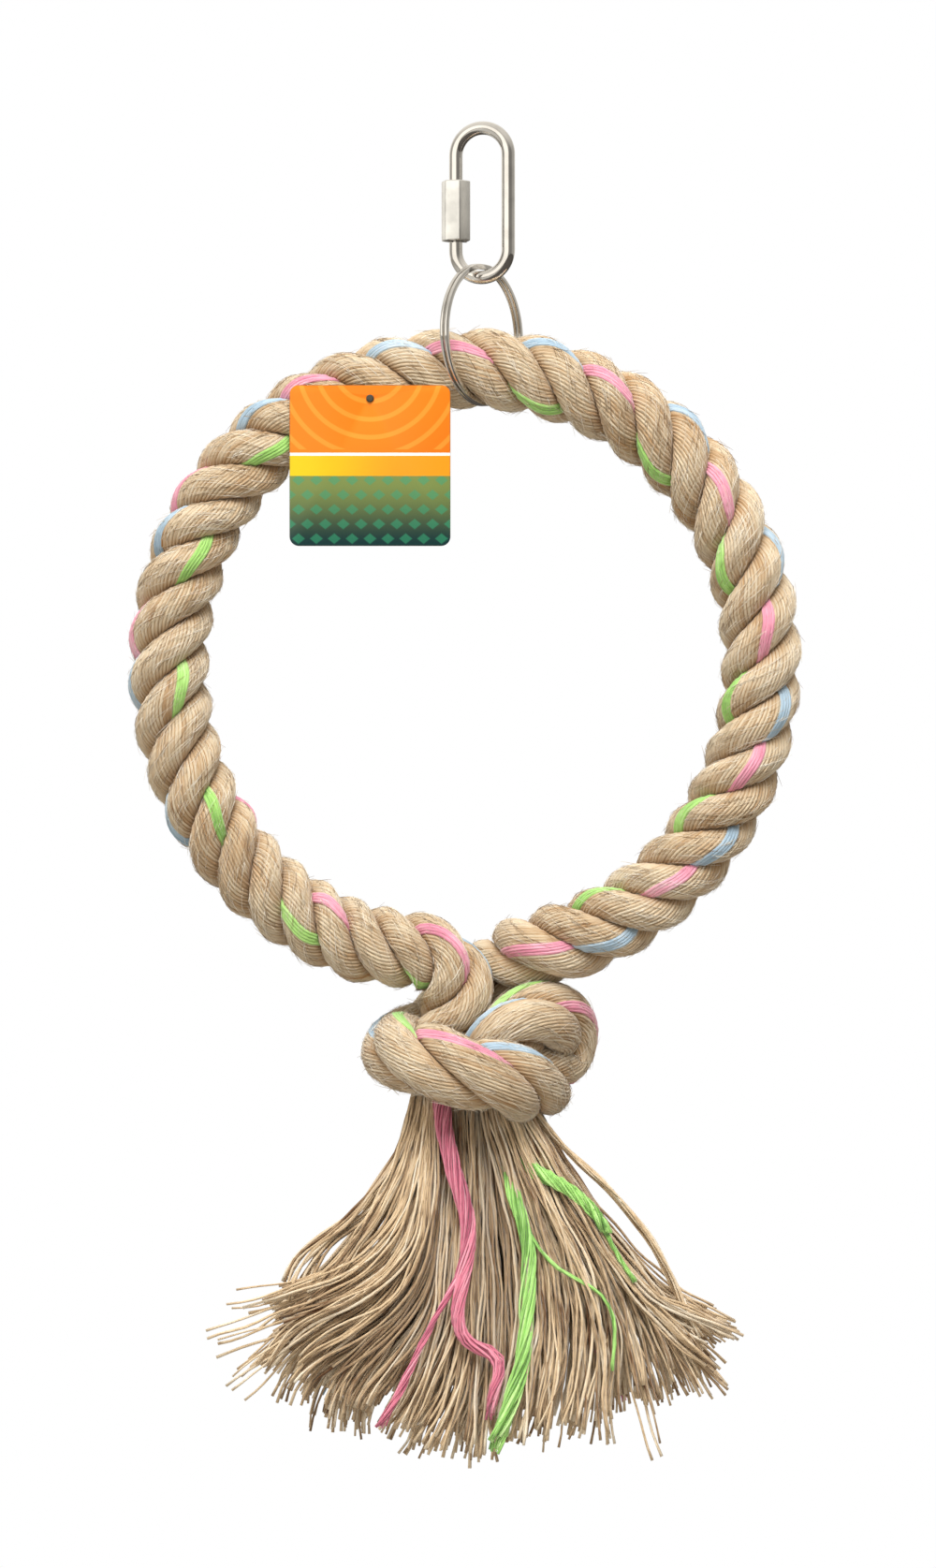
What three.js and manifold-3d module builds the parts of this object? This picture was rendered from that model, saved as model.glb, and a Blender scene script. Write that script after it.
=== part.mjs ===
// A perch ring for parrots: a three-strand jute rope bent round a hoop wire, knotted at the bottom and
// combed out into a tassel, hung by a split ring from a screw link, with a square card tag on a pin.
// Millimetres, +Z up, +Y away from the viewer. The origin is the inside top of the link, where a hook bears.
import * as THREE from "three";
import { mergeVertices } from "three/addons/utils/BufferGeometryUtils.js";
import Module from "manifold-3d";

const wasm = await Module();
wasm.setup();

const degrees = THREE.MathUtils.degToRad;
const FULL_TURN = 2 * Math.PI;

// Clearances
const SEAT_GAP = 0.35; // between pieces that bear on each other
const STRAND_GAP = 0.3; // between the flanks of two strands
const BORE_GAP = 0.3; // round a shank or a thread in its hole

// Screw link and its nut
const LINK_WIRE = 4;
const LINK_LENGTH = 48.7; // outside, end to end
const LINK_WIDTH = 20.2; // outside, across the legs
const LINK_TURN = degrees(-15); // about the vertical
const LINK_OPENING = 5; // between the two threaded ends
const NUT_LENGTH = 18;
const NUT_FLATS = 7.8;
const NUT_CHAMFER = 0.7;
const NUT_SEAT = 3; // from the lower bend up to the closed nut
const NUT_GRIP = 2; // of the lower end, inside the closed nut

// Split ring
const SPLIT_OUTSIDE = 42.5;
const SPLIT_WIRE_DEPTH = 1.7; // along the radius
const SPLIT_WIRE_WIDTH = 1.05; // along the ring's axis
const SPLIT_FLAT = 0.64; // flat share of the wire's depth
const SPLIT_TURN_GAP = 0.45; // between its two turns
const SPLIT_TURN = degrees(-33); // about the vertical
const SPLIT_JOG = degrees(12); // half of the arc in which one turn steps across to the other

// Rope, ring and hoop wire
const ROPE_DIAMETER = 22; // over the crowns of the strands
const ROPE_LAY = 42; // length in which a strand goes once round
const RING_OUTSIDE = 199;
const RING_OFFSET = -4.3; // centre of the ring from the link, along X
const RING_FROM = degrees(252); // where the rope leaves the knot on the left
const RING_TO = degrees(-71); // where it comes back to the knot on the right
const HOOP_WIRE = 2.2;
const HOOP_END = degrees(4); // from the ends of the ring to the ends of the wire
const KNOT_SQUEEZE = 0.8; // diameter of the knotted rope to that of the ring
const KNOT_EASE = 26; // length in which the rope narrows into the knot
const KNOT_HOLD = 0.25; // share of that length in which it stays at its narrowest
const STRAND_GROOVE = 0.68; // distance of the groove between two strands from the heart, in rope radii
const STRAND_SHOULDER = 0.89; // distance of a strand's shoulders from the heart, in rope radii
const SHOULDER_ANGLE = degrees(38); // from the crown of a strand to its shoulders
const CROWN_ANGLE = degrees(13); // from the crown of a strand to the edges of its flat
const STRAND_STARTS = { pink: degrees(64), blue: degrees(184), green: degrees(304) }; // at the ring's top

// Tassel and its coloured tails
const TASSEL_LENGTH = 97;
const TASSEL_LEFT = 52; // spread of the hem past the neck
const TASSEL_RIGHT = 62;
const TASSEL_DEPTH = 34;
const TASSEL_BULGE = 0.25; // how much faster it spreads at the neck than at the hem
const TASSEL_ROOT = 0.3; // share of the length in which the yarns cling together
const YARN_HALF = 0.3; // half the width of a yarn, in widths of its cell
const YARN_TRIM = 0.1; // share of the length by which the longest and the shortest yarns differ
const TAIL_WIDTH = 4.4;

// Card tag and its pin
const TAG_SIDE = 47.7;
const TAG_CORNER = 2.8;
const TAG_THICKNESS = 0.6;
const TAG_MARGIN = 4; // from its top edge to the middle of its hole
const PIN_SHANK = 1.1;
const PIN_HEAD = 2.6;
const PIN_HEAD_HEIGHT = 0.8;
const PIN_BITE = 8; // depth of the shank in the rope
const PIN_ANGLE = degrees(110.5); // place on the ring, from +X
const PIN_DROP = 5.9; // from the middle of the rope towards the middle of the ring

// Counts
const LAY_STEPS = 8; // sections of a strand in one lay
const ROUTE_SAMPLES = 4000;
const RING_STEPS = 24;
const HOOP_STEPS = 72;
const HOOP_SIDES = 6;
const SPLIT_STEPS = 24; // in each turn of the split ring
const JOG_STEPS = 4;
const LINK_STEPS = 56;
const WIRE_SIDES = 10;
const NUT_SIDES = 24; // of the lathe shape that rounds off its corners
const PIN_SIDES = 12;
const TASSEL_SECTORS = 36;
const TASSEL_RINGS = 4;
const TAIL_PLACES = 6;
const TAIL_STEPS = 9;
const TAIL_SIDES = 5;
const WELD = 1e-4; // points closer than this are one

// Places that follow from the sizes
const ropeRadius = ROPE_DIAMETER / 2;
const ringRadius = RING_OUTSIDE / 2 - ropeRadius;
const linkBend = (LINK_WIDTH - LINK_WIRE) / 2;
const linkTop = LINK_WIRE / 2;
const linkBottom = linkTop - LINK_LENGTH + LINK_WIRE;
const upperBendZ = linkTop - linkBend;
const lowerBendZ = linkBottom + linkBend;
const nutBottom = lowerBendZ + NUT_SEAT;
const splitRadius = SPLIT_OUTSIDE / 2 - SPLIT_WIRE_DEPTH / 2;
const splitCentreZ = linkBottom + LINK_WIRE / 2 + SEAT_GAP - SPLIT_OUTSIDE / 2 + SPLIT_WIRE_DEPTH;
const splitFloorZ = splitCentreZ - SPLIT_OUTSIDE / 2 + SPLIT_WIRE_DEPTH;
const ringCentreZ = splitFloorZ + SEAT_GAP - (ringRadius - skinOnSplitRing());
const knotZ = ringCentreZ - ringRadius;

// How far the skin of the rope lies from its heart, a turn away from the crown of one strand
function skinAt(turn) {
  const third = FULL_TURN / 3;
  const away = Math.abs(turn - third * Math.round(turn / third));
  const { lerp, mapLinear } = THREE.MathUtils;
  const shoulder = STRAND_SHOULDER * ropeRadius;
  if (away < CROWN_ANGLE) return ropeRadius;
  if (away < SHOULDER_ANGLE) return mapLinear(away, CROWN_ANGLE, SHOULDER_ANGLE, ropeRadius, shoulder);
  return lerp(shoulder, STRAND_GROOVE * ropeRadius, (away - SHOULDER_ANGLE) / (third / 2 - SHOULDER_ANGLE));
}

// The rope hangs on the split ring by the highest skin that its two turns span, on the inside of the ring
function skinOnSplitRing() {
  const along = ringRadius * Math.asin(-RING_OFFSET / ringRadius);
  const half = (SPLIT_WIRE_WIDTH + SPLIT_TURN_GAP / 2) / Math.cos(SPLIT_TURN);
  const turns = [along - half, along, along + half].map((length) => (FULL_TURN * length) / ROPE_LAY);
  return Math.max(...turns.map((turn) => skinAt(Math.PI - STRAND_STARTS.pink - turn)));
}

// Materials, by colour
const steel = new THREE.MeshStandardMaterial({ color: 0xcfc8b8, roughness: 0.22, metalness: 1 });
const satinSteel = new THREE.MeshStandardMaterial({ color: 0xd8d4c8, roughness: 0.42, metalness: 1 });
const plainSteel = new THREE.MeshStandardMaterial({ color: 0x9a9893, roughness: 0.4, metalness: 1 });
const jute = new THREE.MeshStandardMaterial({ color: 0xb98d58, roughness: 0.95, metalness: 0 });
const card = new THREE.MeshStandardMaterial({ color: 0xf07a1c, roughness: 0.5, metalness: 0 });
const darkPlastic = new THREE.MeshStandardMaterial({ color: 0x4a4a44, roughness: 0.45, metalness: 0 });
const yarnMaterials = {
  pink: new THREE.MeshStandardMaterial({ color: 0xd8456f, roughness: 0.9, metalness: 0 }),
  blue: new THREE.MeshStandardMaterial({ color: 0x6fb3cf, roughness: 0.9, metalness: 0 }),
  green: new THREE.MeshStandardMaterial({ color: 0x9fbf45, roughness: 0.9, metalness: 0 }),
};

const part = new THREE.Group();

function addPiece(name, geometry, material, parent = part) {
  const mesh = new THREE.Mesh(geometry, material);
  mesh.name = name;
  parent.add(mesh);
  return mesh;
}

// A closed surface is gathered point by point, with its faces pointing out
class Surface {
  constructor() {
    this.positions = [];
    this.triangles = [];
  }

  point(place) {
    this.positions.push(place.x, place.y, place.z);
    return this.positions.length / 3 - 1;
  }

  points(places) {
    return places.map((place) => this.point(place));
  }

  // The quad a b c d is split from b to d where crossed is true, and from a to c otherwise
  quad(a, b, c, d, crossed = false) {
    if (crossed) this.triangles.push(a, b, d, b, c, d);
    else this.triangles.push(a, b, c, a, c, d);
  }

  fan(middle, rim) {
    rim.forEach((index, i) => this.triangles.push(middle, index, rim[(i + 1) % rim.length]));
  }

  // Two rims with as many points each are joined by a band of quads
  band(lower, upper, crossed = () => false) {
    for (let i = 0; i < lower.length; i += 1) {
      const next = (i + 1) % lower.length;
      this.quad(lower[i], lower[next], upper[next], upper[i], crossed(i));
    }
  }

  geometry() {
    const geometry = new THREE.BufferGeometry();
    geometry.setAttribute("position", new THREE.Float32BufferAttribute(this.positions, 3));
    geometry.setIndex(this.triangles);
    geometry.computeVertexNormals();
    return geometry;
  }
}

function middleOf(places) {
  const sum = places.reduce((total, place) => total.add(place), new THREE.Vector3());
  return sum.divideScalar(places.length);
}

// A closed tube through a row of sections, each a ring of points seen anticlockwise from ahead
function tubeThrough(sections, crossed) {
  const surface = new Surface();
  const rims = sections.map((section) => surface.points(section));
  for (let i = 0; i + 1 < rims.length; i += 1) surface.band(rims[i], rims[i + 1], crossed);
  const last = rims.length - 1;
  surface.fan(surface.point(middleOf(sections[0])), [...rims[0]].reverse());
  surface.fan(surface.point(middleOf(sections[last])), rims[last]);
  return surface.geometry();
}

function roundShape(radius, sides) {
  const corners = [];
  for (let i = 0; i < sides; i += 1) {
    const angle = (FULL_TURN * i) / sides;
    corners.push(new THREE.Vector2(radius * Math.cos(angle), radius * Math.sin(angle)));
  }
  return new THREE.Shape(corners);
}

function wireAlong(curve, diameter, steps, sides) {
  const options = { steps, extrudePath: curve, bevelEnabled: false };
  return new THREE.ExtrudeGeometry(roundShape(diameter / 2, sides), options);
}

function solidOf(geometry) {
  const bare = geometry.clone();
  bare.deleteAttribute("normal");
  bare.deleteAttribute("uv");
  const merged = mergeVertices(bare, WELD);
  const vertProperties = Float32Array.from(merged.attributes.position.array);
  const triVerts = Uint32Array.from(merged.index.array);
  return new wasm.Manifold(new wasm.Mesh({ numProp: 3, vertProperties, triVerts }));
}

function geometryOf(solid) {
  const mesh = solid.getMesh();
  const geometry = new THREE.BufferGeometry();
  geometry.setAttribute("position", new THREE.Float32BufferAttribute(mesh.vertProperties, 3));
  geometry.setIndex([...mesh.triVerts]);
  geometry.computeVertexNormals();
  return geometry;
}

// Screw link: its wire is drawn flat, from the upper threaded end round to the lower one

class UprightCurve extends THREE.Curve {
  constructor(path) {
    super();
    this.path = path;
  }

  getPoint(t) {
    const flat = this.path.getPoint(t);
    return new THREE.Vector3(flat.x, 0, flat.y);
  }
}

function linkGeometry() {
  const lowerEnd = nutBottom + NUT_GRIP;
  const path = new THREE.Path();
  path.moveTo(-linkBend, lowerEnd + LINK_OPENING);
  path.lineTo(-linkBend, upperBendZ);
  path.absarc(0, upperBendZ, linkBend, Math.PI, 0, true);
  path.lineTo(linkBend, lowerBendZ);
  path.absarc(0, lowerBendZ, linkBend, 0, -Math.PI, true);
  path.lineTo(-linkBend, lowerEnd);
  return wireAlong(new UprightCurve(path), LINK_WIRE, LINK_STEPS, WIRE_SIDES);
}

// The corners of the six-sided bar are turned off at both ends by a lathe shape
function nutGeometry() {
  const cornerRadius = NUT_FLATS / Math.sqrt(3);
  const bore = roundShape(LINK_WIRE / 2 + BORE_GAP, 2 * WIRE_SIDES);
  const bar = roundShape(cornerRadius, 6);
  bar.holes.push(bore);
  const barGeometry = new THREE.ExtrudeGeometry(bar, { depth: NUT_LENGTH, bevelEnabled: false });
  const turned = [
    new THREE.Vector2(0, 0),
    new THREE.Vector2(cornerRadius - NUT_CHAMFER, 0),
    new THREE.Vector2(cornerRadius + NUT_CHAMFER, NUT_CHAMFER),
    new THREE.Vector2(cornerRadius + NUT_CHAMFER, NUT_LENGTH - NUT_CHAMFER),
    new THREE.Vector2(cornerRadius - NUT_CHAMFER, NUT_LENGTH),
    new THREE.Vector2(0, NUT_LENGTH),
  ];
  const turnedGeometry = new THREE.LatheGeometry(turned, NUT_SIDES);
  turnedGeometry.rotateX(Math.PI / 2);
  return geometryOf(solidOf(barGeometry).intersect(solidOf(turnedGeometry)));
}

function addLink() {
  const link = new THREE.Group();
  link.rotation.z = LINK_TURN;
  part.add(link);
  addPiece("quick_link", linkGeometry(), steel, link);
  const nut = addPiece("link_nut", nutGeometry(), satinSteel, link);
  nut.position.set(-linkBend, 0, nutBottom);
}

// Split ring: two turns side by side, joined by a jog, about the local X axis

function splitAcross(angle) {
  const half = (SPLIT_WIRE_WIDTH + SPLIT_TURN_GAP) / 2;
  const share = (angle - FULL_TURN + SPLIT_JOG) / (2 * SPLIT_JOG);
  return half * (2 * THREE.MathUtils.smoothstep(share, 0, 1) - 1);
}

function splitAngles() {
  const angles = [];
  const turn = (FULL_TURN - 2 * SPLIT_JOG) / SPLIT_STEPS;
  const jog = (2 * SPLIT_JOG) / JOG_STEPS;
  for (let i = 0; i <= SPLIT_STEPS; i += 1) angles.push(SPLIT_JOG + i * turn);
  for (let i = 1; i < JOG_STEPS; i += 1) angles.push(FULL_TURN - SPLIT_JOG + i * jog);
  for (let i = 0; i <= SPLIT_STEPS; i += 1) angles.push(FULL_TURN + SPLIT_JOG + i * turn);
  return angles;
}

// The flat wire has six sides, the widest ones facing along the ring's axis
function splitSection(angle) {
  const section = [];
  const across = splitAcross(angle);
  const flat = SPLIT_FLAT / 2;
  const outline = [[0.5, 0], [flat, 0.5], [-flat, 0.5], [-0.5, 0], [-flat, -0.5], [flat, -0.5]];
  for (const [depth, width] of outline) {
    const radius = splitRadius + depth * SPLIT_WIRE_DEPTH;
    const x = across + width * SPLIT_WIRE_WIDTH;
    section.push(new THREE.Vector3(x, radius * Math.sin(angle), radius * Math.cos(angle)));
  }
  return section;
}

function leastGap(sections, apart) {
  let least = Infinity;
  for (let i = 0; i < sections.length; i += 1) {
    for (let j = i + apart; j < sections.length; j += 1) {
      for (const near of sections[i]) {
        for (const far of sections[j]) least = Math.min(least, near.distanceTo(far));
      }
    }
  }
  return least;
}

function addSplitRing() {
  const sections = splitAngles().map(splitSection);
  const gap = leastGap(sections, SPLIT_STEPS / 2);
  console.log(`split ring: least gap between its turns ${gap.toFixed(2)} mm`);
  const ring = addPiece("split_ring", tubeThrough(sections), steel);
  ring.rotation.z = SPLIT_TURN;
  ring.position.z = splitCentreZ;
}

// Rope route: up the left end through the knot, round the ring, and down the right end, which goes
// behind the left one, across its front and through its own bight. Points are in rope diameters from
// the lowest point of the ring.
const LEFT_END = [
  [-0.46, 0, -2.21],
  [-0.46, 0, -1.65],
  [-0.32, 0, -1.13],
  [-0.1, 0, -0.65],
  [-0.2, 0, -0.16],
  [-0.6, 0, 0.13],
];
const RIGHT_END = [
  [0.82, 0.14, 0.1],
  [0.5, 0.68, -0.1],
  [-0.05, 1, -0.5],
  [-0.72, 0.9, -0.9],
  [-1.26, 0.2, -1.16],
  [-1.16, -0.6, -1.3],
  [-0.52, -1.02, -1.42],
  [0.15, -1.16, -1.58],
  [0.8, -1.06, -1.76],
  [1.36, -0.42, -2.0],
  [1.66, 0.34, -1.76],
  [1.6, 0.52, -1.16],
  [1.32, 0.1, -0.76],
  [1.0, -0.3, -0.7],
  [0.64, -0.5, -0.94],
  [0.48, -0.32, -1.38],
  [0.44, 0, -1.84],
  [0.44, 0, -2.21],
];

function onRing(angle, radius = ringRadius) {
  const x = RING_OFFSET + radius * Math.cos(angle);
  return new THREE.Vector3(x, 0, ringCentreZ + radius * Math.sin(angle));
}

// A smooth route runs close by its places, and through the first and the last
class SmoothRoute extends THREE.Curve {
  constructor(places) {
    super();
    const before = places[0].clone().multiplyScalar(2).sub(places[1]);
    const after = places.at(-1).clone().multiplyScalar(2).sub(places.at(-2));
    this.places = [before, ...places, after];
    this.arcLengthDivisions = ROUTE_SAMPLES;
  }

  getPoint(t) {
    const spans = this.places.length - 3;
    const span = Math.min(Math.floor(t * spans), spans - 1);
    const u = t * spans - span;
    const weights = [
      (1 - u) ** 3,
      3 * u ** 3 - 6 * u ** 2 + 4,
      -3 * u ** 3 + 3 * u ** 2 + 3 * u + 1,
      u ** 3,
    ];
    const place = new THREE.Vector3();
    weights.forEach((weight, i) => place.addScaledVector(this.places[span + i], weight / 6));
    return place;
  }
}

// The places of the ring lie a little outside it, because the smooth route cuts their corners
function ringPlaces() {
  const step = (RING_TO - RING_FROM) / RING_STEPS;
  const radius = (ringRadius * 3) / (2 + Math.cos(step));
  const places = [];
  for (let i = 0; i <= RING_STEPS; i += 1) places.push(onRing(RING_FROM + i * step, radius));
  return places;
}

function inKnot([x, y, z]) {
  const place = new THREE.Vector3(x, y, z).multiplyScalar(ROPE_DIAMETER);
  return place.add(new THREE.Vector3(RING_OFFSET, 0, knotZ));
}

// Each stop on the route has a frame that isn't twisted by the bends, with out and side square to
// the rope, its length from the start, and the turn of the strands counted from the top of the ring
function ropeStops() {
  const places = [...LEFT_END.map(inKnot), ...ringPlaces(), ...RIGHT_END.map(inKnot)];
  const curve = new SmoothRoute(places);
  const length = curve.getLength();
  const count = Math.round((length / ROPE_LAY) * LAY_STEPS);
  const stops = [];
  let out = new THREE.Vector3(0, 1, 0);
  for (let i = 0; i <= count; i += 1) {
    const ahead = curve.getTangentAt(i / count);
    out = out.clone().addScaledVector(ahead, -out.dot(ahead)).normalize();
    const side = ahead.clone().cross(out);
    stops.push({ place: curve.getPointAt(i / count), out, side, along: (length * i) / count });
  }
  const top = stops.reduce((best, stop) => (stop.place.z > best.place.z ? stop : best));
  const lean = Math.atan2(top.side.z, top.out.z);
  const topAlong = top.along;
  for (const stop of stops) {
    stop.turn = lean + (FULL_TURN * (stop.along - topAlong)) / ROPE_LAY;
    stop.scale = ropeScale(stop.place);
  }
  return stops;
}

// The rope is narrower in the knot, and as wide as the ring from KNOT_EASE above the lowest point on
function ropeScale(place) {
  const rise = Math.hypot(place.x - RING_OFFSET, place.y, Math.max(place.z - knotZ, 0));
  const ease = place.z > knotZ - ropeRadius / 2 ? rise / KNOT_EASE : 0;
  return KNOT_SQUEEZE + (1 - KNOT_SQUEEZE) * THREE.MathUtils.smoothstep(ease, KNOT_HOLD, 1);
}

// A strand fills a third of the rope: its section is a lobe with flat flanks and a flat at the heart
function strandOutline() {
  const third = Math.PI / 3;
  const stepShrink = Math.cos(Math.PI / LAY_STEPS);
  const heart = (HOOP_WIRE / 2 + BORE_GAP) / Math.cos(third) / stepShrink;
  const groove = STRAND_GROOVE * ropeRadius;
  const shoulder = STRAND_SHOULDER * ropeRadius;
  const flank = (radius) => third - STRAND_GAP / 2 / radius;
  const half = [
    [heart, flank(heart)],
    [groove, flank(groove)],
    [shoulder, SHOULDER_ANGLE],
    [ropeRadius, CROWN_ANGLE],
  ];
  const mirrored = half.map(([radius, angle]) => [radius, -angle]);
  return [...mirrored, ...half.reverse()];
}

function strandSections(stops, outline, start) {
  return stops.map((stop) => outline.map(([radius, angle]) => {
    const turn = start + angle + stop.turn;
    const place = stop.place.clone();
    place.addScaledVector(stop.out, radius * stop.scale * Math.cos(turn));
    return place.addScaledVector(stop.side, radius * stop.scale * Math.sin(turn));
  }));
}

// Facing flanks of two strands are split into triangles alike, so that they stay one gap apart
const straightSplits = [0, 7];

function strandSolid(stops, start) {
  const sections = strandSections(stops, strandOutline(), start);
  return solidOf(tubeThrough(sections, (side) => !straightSplits.includes(side)));
}

function addRope(hole) {
  const stops = ropeStops();
  for (const [colour, start] of Object.entries(STRAND_STARTS)) {
    const strand = strandSolid(stops, start).subtract(hole);
    addPiece(`strand_${colour}`, geometryOf(strand), jute);
  }
}

class RingArc extends THREE.Curve {
  getPoint(t) {
    return onRing(RING_FROM - HOOP_END + t * (RING_TO - RING_FROM + 2 * HOOP_END));
  }
}

function addHoopWire() {
  addPiece("hoop_wire", wireAlong(new RingArc(), HOOP_WIRE, HOOP_STEPS, HOOP_SIDES), plainSteel);
}

// Tassel: a place in it is given by its share of the way out to the skin, its bearing, and its share
// of the way down from the neck to the hem

const leftEnd = inKnot(LEFT_END[0]);
const rightEnd = inKnot(RIGHT_END.at(-1));
const tasselX = (leftEnd.x + rightEnd.x) / 2;
const tasselTop = leftEnd.z - SEAT_GAP;
const neckDepth = ROPE_DIAMETER * KNOT_SQUEEZE;
const neckWidth = rightEnd.x - leftEnd.x + neckDepth;

function tasselFlare(down) {
  return down * (1 + TASSEL_BULGE * (1 - down));
}

function inTassel(out, bearing, down) {
  const flare = tasselFlare(down);
  const east = out * Math.cos(bearing);
  const north = out * Math.sin(bearing);
  const spread = (east > 0 ? TASSEL_RIGHT : TASSEL_LEFT) * east * flare;
  const deepen = TASSEL_DEPTH * north * flare;
  const run = TASSEL_LENGTH * down;
  const drop = run > 0 ? run ** 2 / Math.hypot(run, spread, deepen) : 0;
  const x = tasselX + (neckWidth / 2) * east + spread;
  return new THREE.Vector3(x, (neckDepth / 2) * north + deepen, tasselTop - drop);
}

function tasselRim(out, down) {
  const places = [];
  for (let i = 0; i < TASSEL_SECTORS; i += 1) {
    places.push(inTassel(out, (-FULL_TURN * i) / TASSEL_SECTORS, down));
  }
  return places;
}

// Each cell of the root's underside runs on as one yarn, narrower than the cell and cut at its own length
function addYarn(surface, cell, ring, sector) {
  const out = (ring + 1.5) / (TASSEL_RINGS + 1);
  const bearing = (-FULL_TURN * (sector + 0.5)) / TASSEL_SECTORS;
  const halfOut = YARN_HALF / (TASSEL_RINGS + 1);
  const halfBearing = (YARN_HALF * FULL_TURN) / TASSEL_SECTORS;
  const cut = 1 - YARN_TRIM * Math.abs(Math.sin(7 * sector + 4 * ring));
  let rim = cell;
  for (const down of [TASSEL_ROOT, (TASSEL_ROOT + cut) / 2, cut]) {
    const next = surface.points([
      inTassel(out - halfOut, bearing + halfBearing, down),
      inTassel(out + halfOut, bearing + halfBearing, down),
      inTassel(out + halfOut, bearing - halfBearing, down),
      inTassel(out - halfOut, bearing - halfBearing, down),
    ]);
    surface.band(rim, next);
    rim = next;
  }
  surface.quad(...rim);
}

function tasselGeometry() {
  const surface = new Surface();
  const rootSteps = [0, 1 / 6, 1 / 3, 2 / 3, 1].map((share) => share * TASSEL_ROOT);
  const skins = rootSteps.map((down) => surface.points(tasselRim(1, down)));
  surface.fan(surface.point(inTassel(0, 0, 0)), [...skins[0]].reverse());
  for (let i = 0; i + 1 < skins.length; i += 1) surface.band(skins[i], skins[i + 1]);
  const rims = [];
  for (let ring = 0; ring < TASSEL_RINGS; ring += 1) {
    rims.push(surface.points(tasselRim((ring + 1) / (TASSEL_RINGS + 1), TASSEL_ROOT)));
  }
  rims.push(skins.at(-1));
  surface.fan(surface.point(inTassel(0, 0, TASSEL_ROOT)), rims[0]);
  for (let ring = 0; ring < TASSEL_RINGS; ring += 1) {
    for (let sector = 0; sector < TASSEL_SECTORS; sector += 1) {
      const next = (sector + 1) % TASSEL_SECTORS;
      const cell = [rims[ring][sector], rims[ring + 1][sector], rims[ring + 1][next], rims[ring][next]];
      addYarn(surface, cell, ring, sector);
    }
  }
  return surface.geometry();
}

function awayFromTassel(bearing, down) {
  const step = 0.01;
  const skin = inTassel(1, bearing, down);
  const lower = inTassel(1, bearing, down + step).sub(skin);
  const beside = inTassel(1, bearing + step, down).sub(skin);
  return lower.cross(beside).normalize();
}

// A tail lies on the tassel's skin and wanders from one bearing to another on its way down
function tailGeometry({ from, to, start, end }) {
  const places = [];
  for (let i = 0; i <= TAIL_PLACES; i += 1) {
    const share = i / TAIL_PLACES;
    const down = start + (end - start) * share;
    const bearing = degrees(from + (to - from) * share);
    const away = awayFromTassel(bearing, down).multiplyScalar(TAIL_WIDTH / 2 + SEAT_GAP);
    places.push(inTassel(1, bearing, down).add(away));
  }
  return wireAlong(new THREE.CatmullRomCurve3(places), TAIL_WIDTH, TAIL_STEPS, TAIL_SIDES);
}

const TAILS = {
  pink_tail_front: { colour: "pink", from: -118, to: -88, start: 0.06, end: 0.93 },
  pink_tail_back: { colour: "pink", from: 62, to: 48, start: 0.1, end: 0.9 },
  green_tail_front: { colour: "green", from: -66, to: -80, start: 0.12, end: 0.97 },
  green_tail_side: { colour: "green", from: -56, to: -24, start: 0.14, end: 0.85 },
  blue_tail_left: { colour: "blue", from: 118, to: 140, start: 0.1, end: 0.9 },
  blue_tail_back: { colour: "blue", from: 88, to: 80, start: 0.1, end: 0.94 },
};

function addTassel() {
  addPiece("tassel", tasselGeometry(), jute);
  for (const [name, tail] of Object.entries(TAILS)) {
    addPiece(name, tailGeometry(tail), yarnMaterials[tail.colour]);
  }
}

// Card tag, flat against the front of the rope, and the pin that it swings on

const pinPlace = onRing(PIN_ANGLE, ringRadius - PIN_DROP);
const tagBack = -ropeRadius - SEAT_GAP;
const pinHeadBack = tagBack - TAG_THICKNESS - SEAT_GAP;
const pinTip = -ropeRadius + PIN_BITE;

function tagShape() {
  const half = TAG_SIDE / 2;
  const top = TAG_MARGIN;
  const bottom = TAG_MARGIN - TAG_SIDE;
  const shape = new THREE.Shape();
  shape.moveTo(-half + TAG_CORNER, bottom);
  shape.absarc(half - TAG_CORNER, bottom + TAG_CORNER, TAG_CORNER, -Math.PI / 2, 0);
  shape.absarc(half - TAG_CORNER, top - TAG_CORNER, TAG_CORNER, 0, Math.PI / 2);
  shape.absarc(-half + TAG_CORNER, top - TAG_CORNER, TAG_CORNER, Math.PI / 2, Math.PI);
  shape.absarc(-half + TAG_CORNER, bottom + TAG_CORNER, TAG_CORNER, Math.PI, 1.5 * Math.PI);
  shape.holes.push(roundShape(PIN_SHANK / 2 + BORE_GAP, PIN_SIDES));
  return shape;
}

// A turned shape with its axis on Y, from front to back
function turnedOnY(profile) {
  const outline = profile.map(([radius, y]) => new THREE.Vector2(radius, y));
  return new THREE.LatheGeometry(outline, PIN_SIDES);
}

function addTag() {
  const options = { depth: TAG_THICKNESS, bevelEnabled: false, curveSegments: 5 };
  const tagGeometry = new THREE.ExtrudeGeometry(tagShape(), options);
  const tag = addPiece("tag_card", tagGeometry, card);
  tag.rotation.x = Math.PI / 2;
  tag.position.set(pinPlace.x, tagBack, pinPlace.z);
  const pin = addPiece("tag_pin", turnedOnY([
    [0, pinHeadBack - PIN_HEAD_HEIGHT],
    [PIN_HEAD / 2, pinHeadBack - PIN_HEAD_HEIGHT / 2],
    [PIN_HEAD / 2, pinHeadBack],
    [PIN_SHANK / 2, pinHeadBack],
    [PIN_SHANK / 2, pinTip - PIN_SHANK],
    [0, pinTip],
  ]), darkPlastic);
  pin.position.set(pinPlace.x, 0, pinPlace.z);
}

// What the pin's shank needs out of the rope
function pinHole() {
  const radius = PIN_SHANK / 2 + BORE_GAP;
  const front = tagBack;
  const back = pinTip + BORE_GAP;
  const geometry = turnedOnY([[0, front], [radius, front], [radius, back], [0, back]]);
  geometry.translate(pinPlace.x, 0, pinPlace.z);
  return solidOf(geometry);
}

addLink();
addSplitRing();
addRope(pinHole());
addHoopWire();
addTassel();
addTag();

export default part;
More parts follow.
